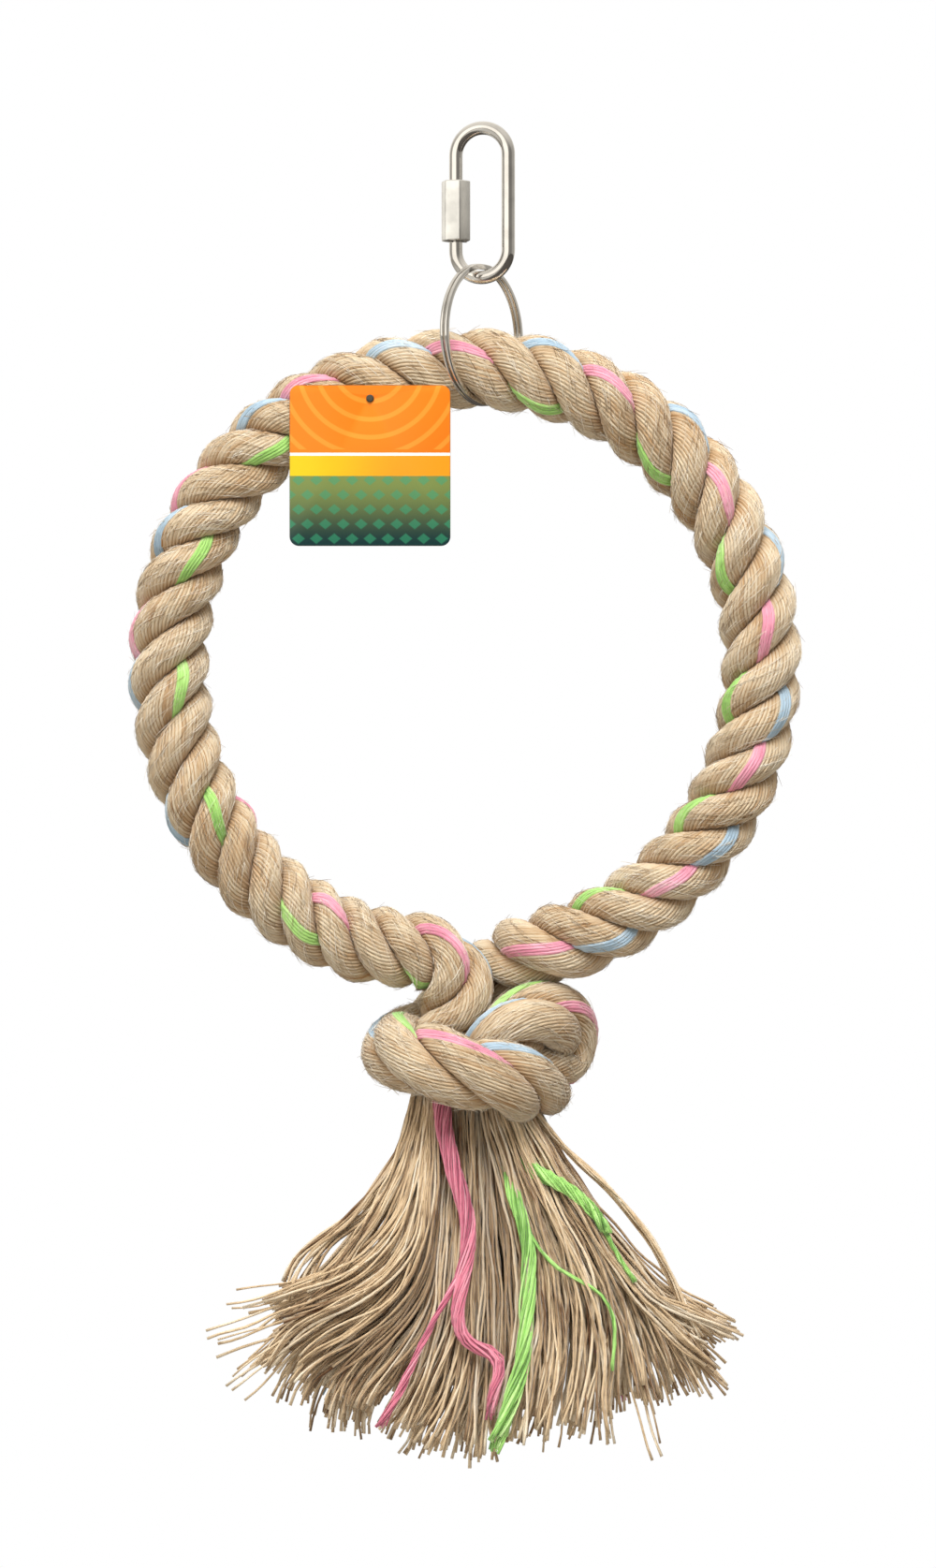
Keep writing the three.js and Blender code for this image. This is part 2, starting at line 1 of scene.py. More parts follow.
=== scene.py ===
"""A perch ring for parrots: laid jute rope with three marker yarns, knotted and combed out into
a tassel, on a split ring and a screw link, with a card tag.

Sizes are in millimetres until a mesh is made.
"""

import math

import bmesh
import bpy
import numpy as np
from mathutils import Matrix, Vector


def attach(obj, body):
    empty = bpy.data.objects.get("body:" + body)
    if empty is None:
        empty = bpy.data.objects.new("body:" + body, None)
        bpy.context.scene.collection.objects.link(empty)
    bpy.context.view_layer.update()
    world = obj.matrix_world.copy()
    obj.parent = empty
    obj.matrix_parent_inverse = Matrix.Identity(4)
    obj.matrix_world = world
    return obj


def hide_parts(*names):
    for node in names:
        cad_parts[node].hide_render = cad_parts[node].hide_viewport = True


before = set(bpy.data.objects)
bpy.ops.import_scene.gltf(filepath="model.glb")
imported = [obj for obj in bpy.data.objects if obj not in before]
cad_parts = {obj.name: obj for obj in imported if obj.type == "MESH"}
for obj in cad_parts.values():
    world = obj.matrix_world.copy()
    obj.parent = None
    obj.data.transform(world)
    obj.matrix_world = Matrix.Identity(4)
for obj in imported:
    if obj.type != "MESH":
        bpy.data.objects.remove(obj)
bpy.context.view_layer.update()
draw = np.random.default_rng(11)

MM = 0.001
FULL_TURN = 2 * math.pi
# Places closer than this count as one, and edges flatter than this angle are shaded smooth
CLOSE = 0.01
SMOOTH_ANGLE = 35
# The least that a length is divided by
TINY = 1e-6

# Camera: a long lens, straight on
PICTURE_HEIGHT = 469
PICTURE_CENTRE = np.array([-4.2, 0, -194.2])
CAMERA_LENS = 100
SENSOR = 36
CAMERA_DISTANCE = PICTURE_HEIGHT * CAMERA_LENS / SENSOR
FLOOR_Z = -470

# Screw link and its nut
LINK_WIRE = 4
LINK_SIDES = 28
LINK_BEND = 8.1
LINK_BEND_STEPS = 36
LINK_UPPER_BEND = -6.1
LINK_LOWER_BEND = -34.6
LINK_ENDS = (-24.6, -29.6)
LINK_END_BEVEL = 0.4
LINK_TURN = -15
NUT_FLATS = 7.8
NUT_TURN = 30
NUT_LENGTH = 18
NUT_MIDDLE = -22.6
NUT_BORE = 4.6
NUT_CORNER = 0.3
NUT_CHAMFER = 0.45

# Split ring
SPLIT_CENTRE = -59.9
SPLIT_RADIUS = 20.4
SPLIT_DEPTH = 1.7
SPLIT_WIDTH = 1.05
SPLIT_EDGE = 0.36
SPLIT_PITCH = 1.5
SPLIT_TURN = -33
SPLIT_STEPS = 84
# The jog from one turn to the other: its degrees, and the share of the pitch in each step
SPLIT_JOG = 24
SPLIT_JOG_SHARES = (0.1, 0.25, 0.3, 0.25, 0.1)

# Card tag and its pin
TAG_SIDE = 47.7
TAG_CORNER = 2.8
TAG_THICKNESS = 0.6
TAG_EDGE = 0.1
TAG_FRONT = -11.95
TAG_CENTRE = (-33.25, -99.8)
PIN_PLACE = (-33.23, -79.95)
PIN_HOLE = 0.85
PIN_GAP = 0.05
PIN_HEAD = 1.15
PIN_HEAD_DEPTH = 0.7
PIN_DOME = 0.45
PIN_SHOULDER = 0.6
PIN_SHANK = 8.5
PIN_TAPER = 0.4
# Within the card's reach from the pin, a share of what stands too far forward is pressed back
TAG_REACH = 51
PRESS_FADE = 20
PRESS_FROM = -8
PRESS_SHARE = 0.26

# Rope
ROPE_DIAMETER = 22
ROPE_LAY = 42
ROPE_STEP = 1.75
RING_RADIUS = 88.5
RING_CENTRE = np.array([-4.3, 0, -157.32])
RING_TOP = 90
RING_FROM = 252
RING_TO = -71
RING_STEPS = 24
# Steps in which a smooth route and a length on the ring are measured
SPAN_STEPS = 40
ARC_STEPS = 60
# How the knot pulls the ring out of round: by how much, at which bearing and how narrowly
RING_SAG = ((1.9, 232, 5), (0.9, 305, 8), (-1.2, 93, 8))
RING_LEAN = 0.65
STRAND_STARTS = {"pink": 64, "blue": 184, "green": 304}
STRAND_MIDDLE = 4.4
STRAND_RADIUS = 7.55
STRAND_FLANK = 3.75
STRAND_FLANK_TURN = 60
STRAND_HEART = 3.4
STRAND_BLEND = 8.0
YARNS = 42
YARN_PROFILE = (-0.44, 0.01, 0.12, 0.01)
YARN_TWIST = 1.344
YARN_UNEVEN = (0.09, 0.06)
# The slow and the quick rises and dips along a yarn: mm to a radian, and how their pace differs
UNEVEN_LENGTHS = (9, 3.1)
UNEVEN_PACES = (0.7, 1.4)
# Between these turns from its crown, in degrees, a strand sinks into the groove beside it, where
# painted shade darkens it
PAINTED_SHADE_TURNS = (50, 94)
# How far the lay runs ahead of an even one, in degrees, by the bearing on the ring
LAY_LEAD = [
    (-60, 8), (-40, 5), (-20, -8), (0, -17), (20, -20), (40, -18), (60, -10), (80, 2), (95, 16),
    (112, 23), (130, 10), (150, 1), (180, -10), (200, -22), (220, -38), (230, -54), (240, -76),
    (250, -98), (262, -125),
]

# Knot, in rope diameters from the lowest point of the ring
KNOT_TOP = RING_CENTRE - [0, 0, RING_RADIUS]
LEFT_END = [
    (-0.46, 0, -2.21), (-0.46, 0, -1.65), (-0.32, 0, -1.13), (-0.1, 0, -0.65), (-0.2, 0, -0.16),
    (-0.6, 0, 0.13),
]
RIGHT_END = [
    (0.82, 0.14, 0.1), (0.5, 0.68, -0.14), (-0.05, 0.95, -0.68), (-0.6, 0.8, -1.16),
    (-0.98, 0.15, -1.28), (-0.92, -0.6, -1.24), (-0.5, -1.0, -1.38), (0.08, -1.12, -1.5),
    (0.56, -1.0, -1.62), (0.88, -0.42, -1.76), (1.06, 0.32, -1.62), (1.28, 0.5, -1.2),
    (1.26, 0.12, -0.86), (0.95, -0.3, -0.82), (0.5, -0.5, -0.98), (0.36, -0.3, -1.38),
    (0.4, 0, -1.84), (0.44, 0, -2.21),
]
# Where the right end passes into the knot, in mm from the top of the ring, and its lay there
KNOT_FROM = 262
KNOT_EASE = 34
KNOT_LAY = 66
KNOT_SLIP = 31
# How thin the knot draws the rope, how far from it that fades, and how the two ends run out
KNOT_SQUEEZE = 0.94
SQUEEZE_FADE = (7, 28)
ROPE_TIP = 0.2
ROPE_TAPER = 18

# How much of its own step across the yarn map a single yarn takes
MAP_WIDTH = 0.98

# Marker yarns
MARKER_YARNS = 4
MARKER_PITCH = 0.88
MARKER_RADIUS = 0.6
MARKER_SIDES = 6
MARKER_PROUD = 0.16
MARKER_UNEVEN = (0.05, 0.03)
# How far a run goes to both sides of its place, in radians of the yarns' turn
MARKER_REACH = 2.6
# Places on the ring, as bearings in degrees, where each marker lies on the crown of its strand
MARKER_PLACES = {
    "pink": (264, 240.8, 213.5, 174.6, 148.4, 120, 91.2, 62.2, 33, 5, -21.5, -48, -75.5),
    "blue": (268.5, 208.7, 183.6, 156, 129.5, 102.4, 74, 46.2, 18.6, -10.5, -37.4, -64),
    "green": (262.5, 237, 211, 185, 159.2, 132.6, 103, 74.6, 46.3, 19.2, -8.6, -34.8, -62),
}
# Places in the knot, in mm of rope from the top of the ring, with the strand that each lies on
KNOT_MARKERS = {
    "pink": (("blue", 357), ("green", 416.5)),
    "blue": (("pink", 317), ("pink", 375.5), ("blue", 449.5)),
    "green": (("green", 331), ("green", 430.5)),
}

# Loose fibres of the rope, every other one lying or standing
FIBRES = 18000
FIBRE_SIDES = 3
FIBRE_TAPER = (1, 0.95, 0.8, 0.4)
FIBRE_MAP_LENGTH = 0.005
# How far from its strand's crown a fibre begins and how far it turns, at random and with the lay
FIBRE_START = 1.3
FIBRE_TURN = 0.7
FIBRE_LAY = 0.15
# Steps at the start and at the end of the rope where no fibre begins
BARE_STEPS = (6, 8)
LYING_LIFT = (0.1, 0.5)
LYING_RADIUS = (0.04, 0.075)
STANDING_LIFT = (0.6, 2.6)
STANDING_CURVE = 1.5
STANDING_RADIUS = (0.05, 0.095)
STANDING_LENGTH = (0.35, 0.9)

# Yarns by material: dark, middle and light on a 0 to 255 screen, depth of the painted shade in the
# creases, variety
YARN_LOOKS = {
    "jute": ((162, 119, 70), (211, 193, 164), (217, 205, 183), 0.95, 0.24),
    "jute_fibre": ((126, 94, 60), (216, 200, 172), (246, 240, 228), 0.2, 0.9),
    "loose_jute": ((96, 61, 34), (216, 190, 153), (240, 231, 212), 0.4, 0.4),
    "pink_jute": ((176, 98, 120), (220, 148, 168), (238, 200, 210), 0.35, 0.1),
    "blue_jute": ((116, 140, 160), (162, 184, 200), (204, 214, 222), 0.3, 0.1),
    "green_jute": ((104, 154, 70), (162, 208, 116), (206, 232, 168), 0.3, 0.1),
    "loose_pink_jute": ((148, 68, 92), (225, 132, 154), (244, 188, 202), 0.5, 0.5),
    "loose_blue_jute": ((96, 128, 158), (150, 182, 208), (200, 220, 234), 0.5, 0.5),
    "loose_green_jute": ((98, 146, 66), (168, 222, 122), (212, 242, 172), 0.5, 0.5),
}


# Shader nodes

class Value:
    """One output of a node, for sums in plain Python."""

    def __init__(self, nodes, socket):
        self.nodes = nodes
        self.socket = socket

    def sum(self, operation, first, second=0.0):
        return self.nodes.node("Math", {"operation": operation}, {0: first, 1: second})

    def __add__(self, other):
        return self.sum("ADD", self, other)

    __radd__ = __add__

    def __sub__(self, other):
        return self.sum("SUBTRACT", self, other)

    def __rsub__(self, other):
        return self.sum("SUBTRACT", other, self)

    def __mul__(self, other):
        return self.sum("MULTIPLY", self, other)

    __rmul__ = __mul__

    def __truediv__(self, other):
        return self.sum("DIVIDE", self, other)

    def __pow__(self, other):
        return self.sum("POWER", self, other)

    def over(self, edge):
        return self.sum("GREATER_THAN", self, edge)

    def most(self, other):
        return self.sum("MAXIMUM", self, other)

    def floor(self):
        return self.sum("FLOOR", self)

    def fraction(self):
        return self.sum("FRACT", self)

    def size(self):
        return self.sum("ABSOLUTE", self)

    def sine(self):
        return self.sum("SINE", self)

    def ease(self, low, high):
        return self.nodes.node(
            "MapRange",
            {"interpolation_type": "SMOOTHSTEP"},
            {"Value": self, "From Min": low, "From Max": high},
        )


class Nodes:
    """A node tree that is built node by node."""

    def __init__(self, tree):
        self.tree = tree

    def feed(self, socket, value):
        if isinstance(value, Value):
            self.tree.links.new(value.socket, socket)
        else:
            socket.default_value = value

    def node(self, kind, settings=None, sockets=None, out=0):
        made = self.tree.nodes.new("ShaderNode" + kind)
        for name, value in (settings or {}).items():
            if name == "stops":
                self.set_ramp(made.color_ramp, value)
            else:
                setattr(made, name, value)
        for name, value in (sockets or {}).items():
            self.feed(made.inputs[name], value)
        return Value(self, made.outputs[out])

    def set_ramp(self, ramp, stops):
        while len(ramp.elements) < len(stops):
            ramp.elements.new(0.5)
        for element, (place, colour) in zip(ramp.elements, stops):
            element.position = place
            element.color = colour

    def mix(self, factor, first, second):
        return self.node("Mix", {"data_type": "RGBA"}, {0: factor, 6: first, 7: second}, out=2)

    def noise(self, vector, scale, detail=2.0):
        return self.node("TexNoise", {}, {"Vector": vector, "Scale": scale, "Detail": detail})

    def vector(self, x, y, z=0.0):
        return self.node("CombineXYZ", {}, {0: x, 1: y, 2: z})

    def split(self, vector):
        return [self.node("SeparateXYZ", {}, {0: vector}, out=axis) for axis in range(3)]

    def place(self):
        return self.node("TexCoord", {}, {}, out="Object")

    def bump(self, height, strength, distance):
        return self.node("Bump", {}, {"Height": height, "Strength": strength, "Distance": distance})


class Look(Nodes):
    """A material on one Principled shader."""

    def __init__(self, name, **constants):
        self.material = bpy.data.materials.new(name)
        self.material.use_nodes = True
        super().__init__(self.material.node_tree)
        self.shader = self.tree.nodes["Principled BSDF"]
        self.finish(**constants)

    def finish(self, **sockets):
        for name, value in sockets.items():
            self.feed(self.shader.inputs[name.replace("_", " ")], value)
        return self.material


def linear(value):
    """The light of one screen colour, from 0 to 1."""
    share = value / 255
    return share / 12.92 if share <= 0.04 else ((share + 0.055) / 1.055) ** 2.4


def tint(red, green, blue):
    """A colour from the 0 to 255 of a screen."""
    return linear(red), linear(green), linear(blue), 1


def yarn_look(name, dark, middle, light, crease_shade_depth, variety):
    """Spun yarn: the map runs along the yarn, and across it by one for each yarn."""
    dark, middle, light = tint(*dark), tint(*middle), tint(*light)
    look = Look(name, Specular_IOR_Level=0.18, Sheen_Weight=0.4, Sheen_Roughness=0.45)
    along, across, _ = look.split(look.node("UVMap", {"uv_map": "yarn"}))
    yarn = across.floor()
    own = look.node("TexWhiteNoise", {"noise_dimensions": "1D"}, {"W": yarn})
    fibres = look.noise(look.vector(along * 230, across * 9), 1.0, 4.0)
    stretches = look.noise(look.vector(along * 50, yarn * 3.7), 1.0, 2.0)
    patches = look.noise(look.place(), 60.0, 4.0)
    bundles = look.noise(look.vector(yarn * 0.13, along * 9), 1.0, 1.0)
    yarn_tone = fibres * 0.75 + stretches * 0.35 + (own - 0.5) * variety
    tone = yarn_tone + patches * 0.55 + bundles * 0.4 - 0.53
    stops = [(0.15, dark), (0.5, middle), (0.85, light)]
    shade = look.node("ValToRGB", {"stops": stops}, {0: tone})
    # Painted shade in the creases: each yarn's colour darkens towards its edges
    middle_of_yarn = 1 - (across.fraction() - 0.5).size() * 2
    crease_shade = (1 - middle_of_yarn.ease(0.0, 0.42)) * crease_shade_depth
    crease_shaded = look.mix(1 - crease_shade * (0.25 + stretches.ease(0.3, 0.7)), dark, shade)
    specks = look.noise(look.vector(along * 420, across * 6), 1.0, 2.0).ease(0.6, 0.72)
    stain = look.noise(look.place(), 38.0, 5.0).ease(0.52, 0.78)
    # Painted shade read from the mesh: darker between the strands and on tassel locks that others
    # shade; specks and stains are the jute's own colour
    hollow = look.node("Attribute", {"attribute_name": "hollow"}, {}, out="Fac")
    painted_hollow_shade = hollow * (0.15 + patches * 0.75)
    specks_stain_and_shade = (specks * 0.5).most(painted_hollow_shade).most(stain * 0.4)
    twist = (along * 2300 + across * FULL_TURN).sine()
    return look.finish(
        Base_Color=look.mix(specks_stain_and_shade, crease_shaded, dark),
        Roughness=0.72 + fibres * 0.25,
        Normal=look.bump(fibres * 0.75 + twist * 0.12, 0.7, 0.0004),
    )


def steel_look(name, plate, smooth, rough, scratch):
    """Plated steel, clouded and finely drawn."""
    look = Look(name, Metallic=1.0)
    place = look.place()
    clouds = look.noise(place, 160.0, 4.0)
    x, y, z = look.split(place)
    draws = look.noise(look.vector(x * 2600, y * 2600, z * 180), 1.0, 3.0)
    dull = tuple(share * 0.8 for share in plate[:3]) + (1,)
    return look.finish(
        Base_Color=look.mix(clouds.ease(0.4, 0.75), plate, dull),
        Roughness=smooth + (rough - smooth) * (clouds * 0.5 + draws * 0.5),
        Normal=look.bump(draws, scratch, 0.00006),
    )


def print_look():
    """Coated card, printed on the front: an orange field, a yellow band, lozenges on green."""
    look = Look("printed_card", Specular_IOR_Level=0.4)
    x, y, z = look.split(look.place())
    across = (x - (TAG_CENTRE[0] - TAG_SIDE / 2) * MM) / (TAG_SIDE * MM)
    up = (z - (TAG_CENTRE[1] - TAG_SIDE / 2) * MM) / (TAG_SIDE * MM)
    grain = look.noise(look.place(), 900.0, 3.0)
    fall = (across * 0.6 + (1 - up)).ease(0.5, 1.3)
    orange = look.mix(fall, tint(236, 124, 18), tint(220, 108, 14))
    arcs = (((across - 0.5) ** 2 + (up - 1.12) ** 2) ** 0.5 * 9.0).fraction()
    arc = (arcs - 0.5).size().ease(0.34, 0.4) * up.over(0.6)
    field = look.mix(arc * 0.35, orange, tint(250, 176, 70))
    yellow = look.mix(across.ease(0.0, 0.75), tint(226, 192, 12), tint(240, 148, 24))
    banded = look.mix(up.over(0.565), yellow, field)
    ruled = look.mix((up - 0.57).size().over(0.009), tint(255, 253, 248), banded)
    deep = look.mix(up.ease(0.0, 0.44), tint(8, 52, 54), tint(118, 134, 70))
    rows = up * 11
    columns = across * 9 + rows.floor() * 0.5
    lozenge = (columns.fraction() - 0.5).size() + (rows.fraction() - 0.5).size()
    leafy = look.mix(lozenge.ease(0.42, 0.3) * 0.55, deep, tint(46, 146, 106))
    printed = look.mix(up.over(0.435), leafy, ruled)
    card = look.mix(grain.ease(0.4, 0.7), tint(238, 236, 228), tint(226, 222, 212))
    # Darker in a thin band along the edge of the printed face
    rim = (across - 0.5).size().most((up - 0.5).size()).ease(0.494, 0.499)
    rim_darkened = look.mix(rim * 0.6, printed, tint(70, 62, 44))
    front = (y / MM).ease(TAG_FRONT + 0.2, TAG_FRONT + 0.1)
    return look.finish(
        Base_Color=look.mix(front, card, rim_darkened),
        Roughness=0.34 + grain * 0.16 + (1 - front) * 0.3,
        Normal=look.bump(grain, 0.12, 0.00005),
    )


def plastic_look():
    look = Look("dark_plastic", Specular_IOR_Level=0.4)
    grain = look.noise(look.place(), 2400.0, 3.0)
    return look.finish(
        Base_Color=look.mix(grain, tint(52, 48, 42), tint(84, 78, 66)),
        Roughness=0.45 + grain * 0.2,
        Normal=look.bump(grain, 0.2, 0.00005),
    )


# Modelling by hand

def metres(*values):
    return tuple(value * MM for value in values)


def hold(place=(0, 0, 0), turn=(0, 0, 0)):
    return {"location": metres(*place), "rotation": tuple(math.radians(angle) for angle in turn)}


def select_all():
    bpy.ops.mesh.select_all(action="SELECT")


def open_piece():
    bpy.ops.object.transform_apply(location=True, rotation=True, scale=True)
    bpy.ops.object.mode_set(mode="EDIT")
    bpy.ops.mesh.select_mode(type="EDGE")
    select_all()


def keep_outline():
    select_all()
    bpy.ops.mesh.delete(type="ONLY_FACE")
    select_all()


def face_outwards():
    select_all()
    bpy.ops.mesh.normals_make_consistent(inside=False)


def choose(kind, test):
    """Selects the edges or faces of the open piece whose middle, in millimetres, passes a test."""
    bpy.ops.mesh.select_mode(type=kind)
    bpy.ops.mesh.select_all(action="DESELECT")
    shape = bmesh.from_edit_mesh(bpy.context.object.data)
    for part in {"EDGE": shape.edges, "FACE": shape.faces}[kind]:
        middle = sum((corner.co for corner in part.verts), Vector()) / len(part.verts) / MM
        part.select_set(bool(test(middle)))
    bmesh.update_edit_mesh(bpy.context.object.data)


def near_any(value, places):
    return min(abs(value - place) for place in places) < CLOSE


def from_axis(at):
    return math.hypot(at.x, at.y)


def extrude(*way):
    bpy.ops.mesh.extrude_region_move(TRANSFORM_OT_translate={"value": metres(*way)})


def spin(angle, steps, centre, axis):
    bpy.ops.mesh.spin(steps=steps, angle=math.radians(angle), center=metres(*centre), axis=axis)


def bevel(offset, segments, affect="EDGES"):
    bpy.ops.mesh.bevel(offset=offset * MM, segments=segments, affect=affect)


def close_shape():
    select_all()
    bpy.ops.mesh.remove_doubles(threshold=CLOSE * MM)
    bpy.ops.mesh.fill_holes(sides=0)
    face_outwards()


def close_piece(name, body, material, node, turn=(0, 0, 0), place=(0, 0, 0)):
    bpy.ops.object.mode_set(mode="OBJECT")
    piece = bpy.context.object
    piece.name = name
    piece.location = metres(*place)
    piece.rotation_euler = [math.radians(angle) for angle in turn]
    bpy.ops.object.transform_apply(location=True, rotation=True, scale=True)
    bpy.ops.object.shade_smooth_by_angle(angle=math.radians(SMOOTH_ANGLE))
    piece.data.materials.clear()
    piece.data.materials.append(material)
    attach(piece, body)
    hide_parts(node)
    bpy.ops.object.select_all(action="DESELECT")


def add_link(steel):
    """One wire: from the upper thread over the top, down the far leg, round to the lower thread."""
    upper_end, lower_end = LINK_ENDS
    bpy.ops.mesh.primitive_circle_add(
        vertices=LINK_SIDES, radius=LINK_WIRE / 2 * MM, fill_type="NOTHING",
        **hold((-LINK_BEND, 0, upper_end)),
    )
    open_piece()
    extrude(0, 0, LINK_UPPER_BEND - upper_end)
    spin(180, LINK_BEND_STEPS, (0, 0, LINK_UPPER_BEND), (0, -1, 0))
    extrude(0, 0, LINK_LOWER_BEND - LINK_UPPER_BEND)
    spin(180, LINK_BEND_STEPS, (0, 0, LINK_LOWER_BEND), (0, -1, 0))
    extrude(0, 0, lower_end - LINK_LOWER_BEND)
    close_shape()
    choose("FACE", lambda at: at.x < 0 and near_any(at.z, LINK_ENDS))
    bevel(LINK_END_BEVEL, 3)
    close_piece("link_wire", "link", steel, "quick_link", turn=(0, 0, LINK_TURN))


def add_nut(steel):
    """A six-sided bar with eased corners, turned off at both ends and bored through."""
    ends = (NUT_MIDDLE - NUT_LENGTH / 2, NUT_MIDDLE + NUT_LENGTH / 2)
    bpy.ops.mesh.primitive_cylinder_add(
        vertices=6, radius=NUT_FLATS / math.sqrt(3) * MM, depth=NUT_LENGTH * MM,
        end_fill_type="NOTHING", **hold((0, 0, NUT_MIDDLE), (0, 0, NUT_TURN)),
    )
    open_piece()
    choose("EDGE", lambda at: near_any(at.z, [NUT_MIDDLE]))
    bevel(NUT_CORNER, 3)
    for end in ends:
        bpy.ops.mesh.primitive_circle_add(
            vertices=24, radius=NUT_BORE / 2 * MM, fill_type="NOTHING", **hold((0, 0, end))
        )
        choose("EDGE", lambda at: near_any(at.z, [end]))
        bpy.ops.mesh.bridge_edge_loops()
    choose("EDGE", lambda at: from_axis(at) < NUT_BORE / 2 + CLOSE and near_any(at.z, ends))
    bpy.ops.mesh.bridge_edge_loops()
    close_shape()
    choose("EDGE", lambda at: from_axis(at) > NUT_FLATS / 2 - CLOSE and near_any(at.z, ends))
    bevel(NUT_CHAMFER, 3)
    turn = math.radians(LINK_TURN)
    place = (-LINK_BEND * math.cos(turn), -LINK_BEND * math.sin(turn), 0)
    close_piece(
        "sleeve_nut", "nut", steel, "link_nut",
        turn=(0, 0, LINK_TURN), place=place,
    )


def add_split_ring(steel):
    """Flat wire in two turns side by side, with a jog from one to the other."""
    bpy.ops.mesh.primitive_plane_add(size=MM, **hold(turn=(90, 0, 0)))
    open_piece()
    bpy.ops.transform.resize(value=(SPLIT_WIDTH, 1, SPLIT_DEPTH), center_override=(0, 0, 0))
    bpy.ops.transform.translate(value=metres(-SPLIT_PITCH / 2, 0, SPLIT_RADIUS))
    bevel(SPLIT_EDGE, 3, "VERTICES")
    keep_outline()
    spin(360 - SPLIT_JOG, SPLIT_STEPS, (0, 0, 0), (1, 0, 0))
    for share in SPLIT_JOG_SHARES:
        spin(SPLIT_JOG / len(SPLIT_JOG_SHARES), 1, (0, 0, 0), (1, 0, 0))
        bpy.ops.transform.translate(value=metres(SPLIT_PITCH * share, 0, 0))
    spin(360 - SPLIT_JOG, SPLIT_STEPS, (0, 0, 0), (1, 0, 0))
    close_shape()
    close_piece(
        "split_ring_wire", "split_ring", steel, "split_ring",
        turn=(-SPLIT_JOG / 2, 0, SPLIT_TURN), place=(0, 0, SPLIT_CENTRE),
    )


def add_tag(card):
    """A square sheet with rounded corners and a hole, given its thickness and a soft edge."""
    middle = (TAG_CENTRE[0], TAG_FRONT + TAG_THICKNESS / 2, TAG_CENTRE[1])
    bpy.ops.mesh.primitive_plane_add(size=TAG_SIDE * MM, **hold(middle, (90, 0, 0)))
    open_piece()
    bevel(TAG_CORNER, 8, "VERTICES")
    keep_outline()
    hole = (PIN_PLACE[0], middle[1], PIN_PLACE[1])
    bpy.ops.mesh.primitive_circle_add(
        vertices=36, radius=PIN_HOLE * MM, fill_type="NOTHING", **hold(hole, (90, 0, 0))
    )
    select_all()
    bpy.ops.mesh.bridge_edge_loops()
    face_outwards()
    bpy.ops.object.mode_set(mode="OBJECT")
    for kind, settings in {
        "SOLIDIFY": {"thickness": TAG_THICKNESS * MM, "offset": 0},
        "BEVEL": {"width": TAG_EDGE * MM, "segments": 2, "angle_limit": math.radians(50)},
    }.items():
        bpy.ops.object.modifier_add(type=kind)
        modifier = bpy.context.object.modifiers[-1]
        for name, value in settings.items():
            setattr(modifier, name, value)
        bpy.ops.object.modifier_apply(modifier=modifier.name)
    close_piece("tag_sheet", "tag", card, "tag_card")


def add_pin(plastic):
    """A domed head in front of the card and a shank that goes into the rope."""
    front = TAG_FRONT - PIN_GAP
    head = (PIN_PLACE[0], front - PIN_HEAD_DEPTH / 2, PIN_PLACE[1])
    bpy.ops.mesh.primitive_cylinder_add(
        vertices=24, radius=PIN_HEAD * MM, depth=PIN_HEAD_DEPTH * MM, **hold(head, (90, 0, 0))
    )
    open_piece()
    choose("FACE", lambda at: at.y < front - PIN_HEAD_DEPTH + CLOSE)
    bevel(PIN_DOME, 4)
    choose("FACE", lambda at: abs(at.y - front) < CLOSE)
    bpy.ops.mesh.inset(thickness=PIN_SHOULDER * MM)
    extrude(0, PIN_SHANK, 0)
    centre = metres(PIN_PLACE[0], 0, PIN_PLACE[1])
    bpy.ops.transform.resize(value=(PIN_TAPER, 1, PIN_TAPER), center_override=centre)
    face_outwards()
    close_piece("tag_pin_head", "rope_ring", plastic, "tag_pin")


# Yarn meshes

def add_piece(name, body, material, mesh):
    piece = bpy.data.objects.new(name, mesh)
    bpy.context.scene.collection.objects.link(piece)
    mesh.materials.append(material)
    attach(piece, body)
    return piece


def mesh_of(name, points, quads, caps, maps):
    """A smooth mesh in metres from points in millimetres, quads and caps, with a yarn map."""
    mesh = bpy.data.meshes.new(name)
    corners = np.concatenate([quads.ravel(), *caps]).astype(np.int32)
    sizes = np.concatenate([np.full(len(quads), 4), [len(cap) for cap in caps]]).astype(np.int32)
    mesh.vertices.add(len(points))
    mesh.vertices.foreach_set("co", (points * MM).astype(np.float32).ravel())
    mesh.loops.add(len(corners))
    mesh.loops.foreach_set("vertex_index", corners)
    mesh.polygons.add(len(sizes))
    starts = np.concatenate([[0], np.cumsum(sizes)[:-1]]).astype(np.int32)
    mesh.polygons.foreach_set("loop_start", starts)
    mesh.polygons.foreach_set("use_smooth", np.ones(len(sizes), bool))
    mesh.update(calc_edges=True)
    mesh.uv_layers.new(name="yarn").data.foreach_set("uv", maps.astype(np.float32).ravel())
    mesh.validate()
    return mesh


def tube_parts(sections, along, yarn, across, first):
    """Points, quads, caps and map corners of one closed tube through rings of points."""
    rings, sides, _ = sections.shape
    ring, side = np.meshgrid(np.arange(rings - 1), np.arange(sides), indexing="ij")
    after = (side + 1) % sides
    low = yarn + across * side / sides
    high = yarn + across * (side + 1) / sides
    here, ahead = ring * sides, (ring + 1) * sides
    quads = np.stack([here + side, here + after, ahead + after, ahead + side], -1)
    corners = [(ring, low), (ring, high), (ring + 1, high), (ring + 1, low)]
    maps = np.stack([np.stack([along[stop], turn], -1) for stop, turn in corners], -2)
    caps = [first + np.arange(sides)[::-1], first + (rings - 1) * sides + np.arange(sides)]
    cap_maps = np.repeat([[along[0], yarn + 0.5], [along[-1], yarn + 0.5]], sides, axis=0)
    points = sections.reshape(-1, 3)
    return points, first + quads.reshape(-1, 4), caps, maps.reshape(-1, 2), cap_maps


def join_tubes(name, tubes):
    """One mesh of tubes, each given as its rings, lengths along, first yarn and yarns across."""
    parts, first = [], 0
    for tube in tubes:
        parts.append(tube_parts(*tube, first))
        first += len(parts[-1][0])
    points, quads, caps, maps, cap_maps = zip(*parts)
    caps = [cap for pair in caps for cap in pair]
    return mesh_of(name, np.vstack(points), np.vstack(quads), caps, np.vstack(maps + cap_maps))


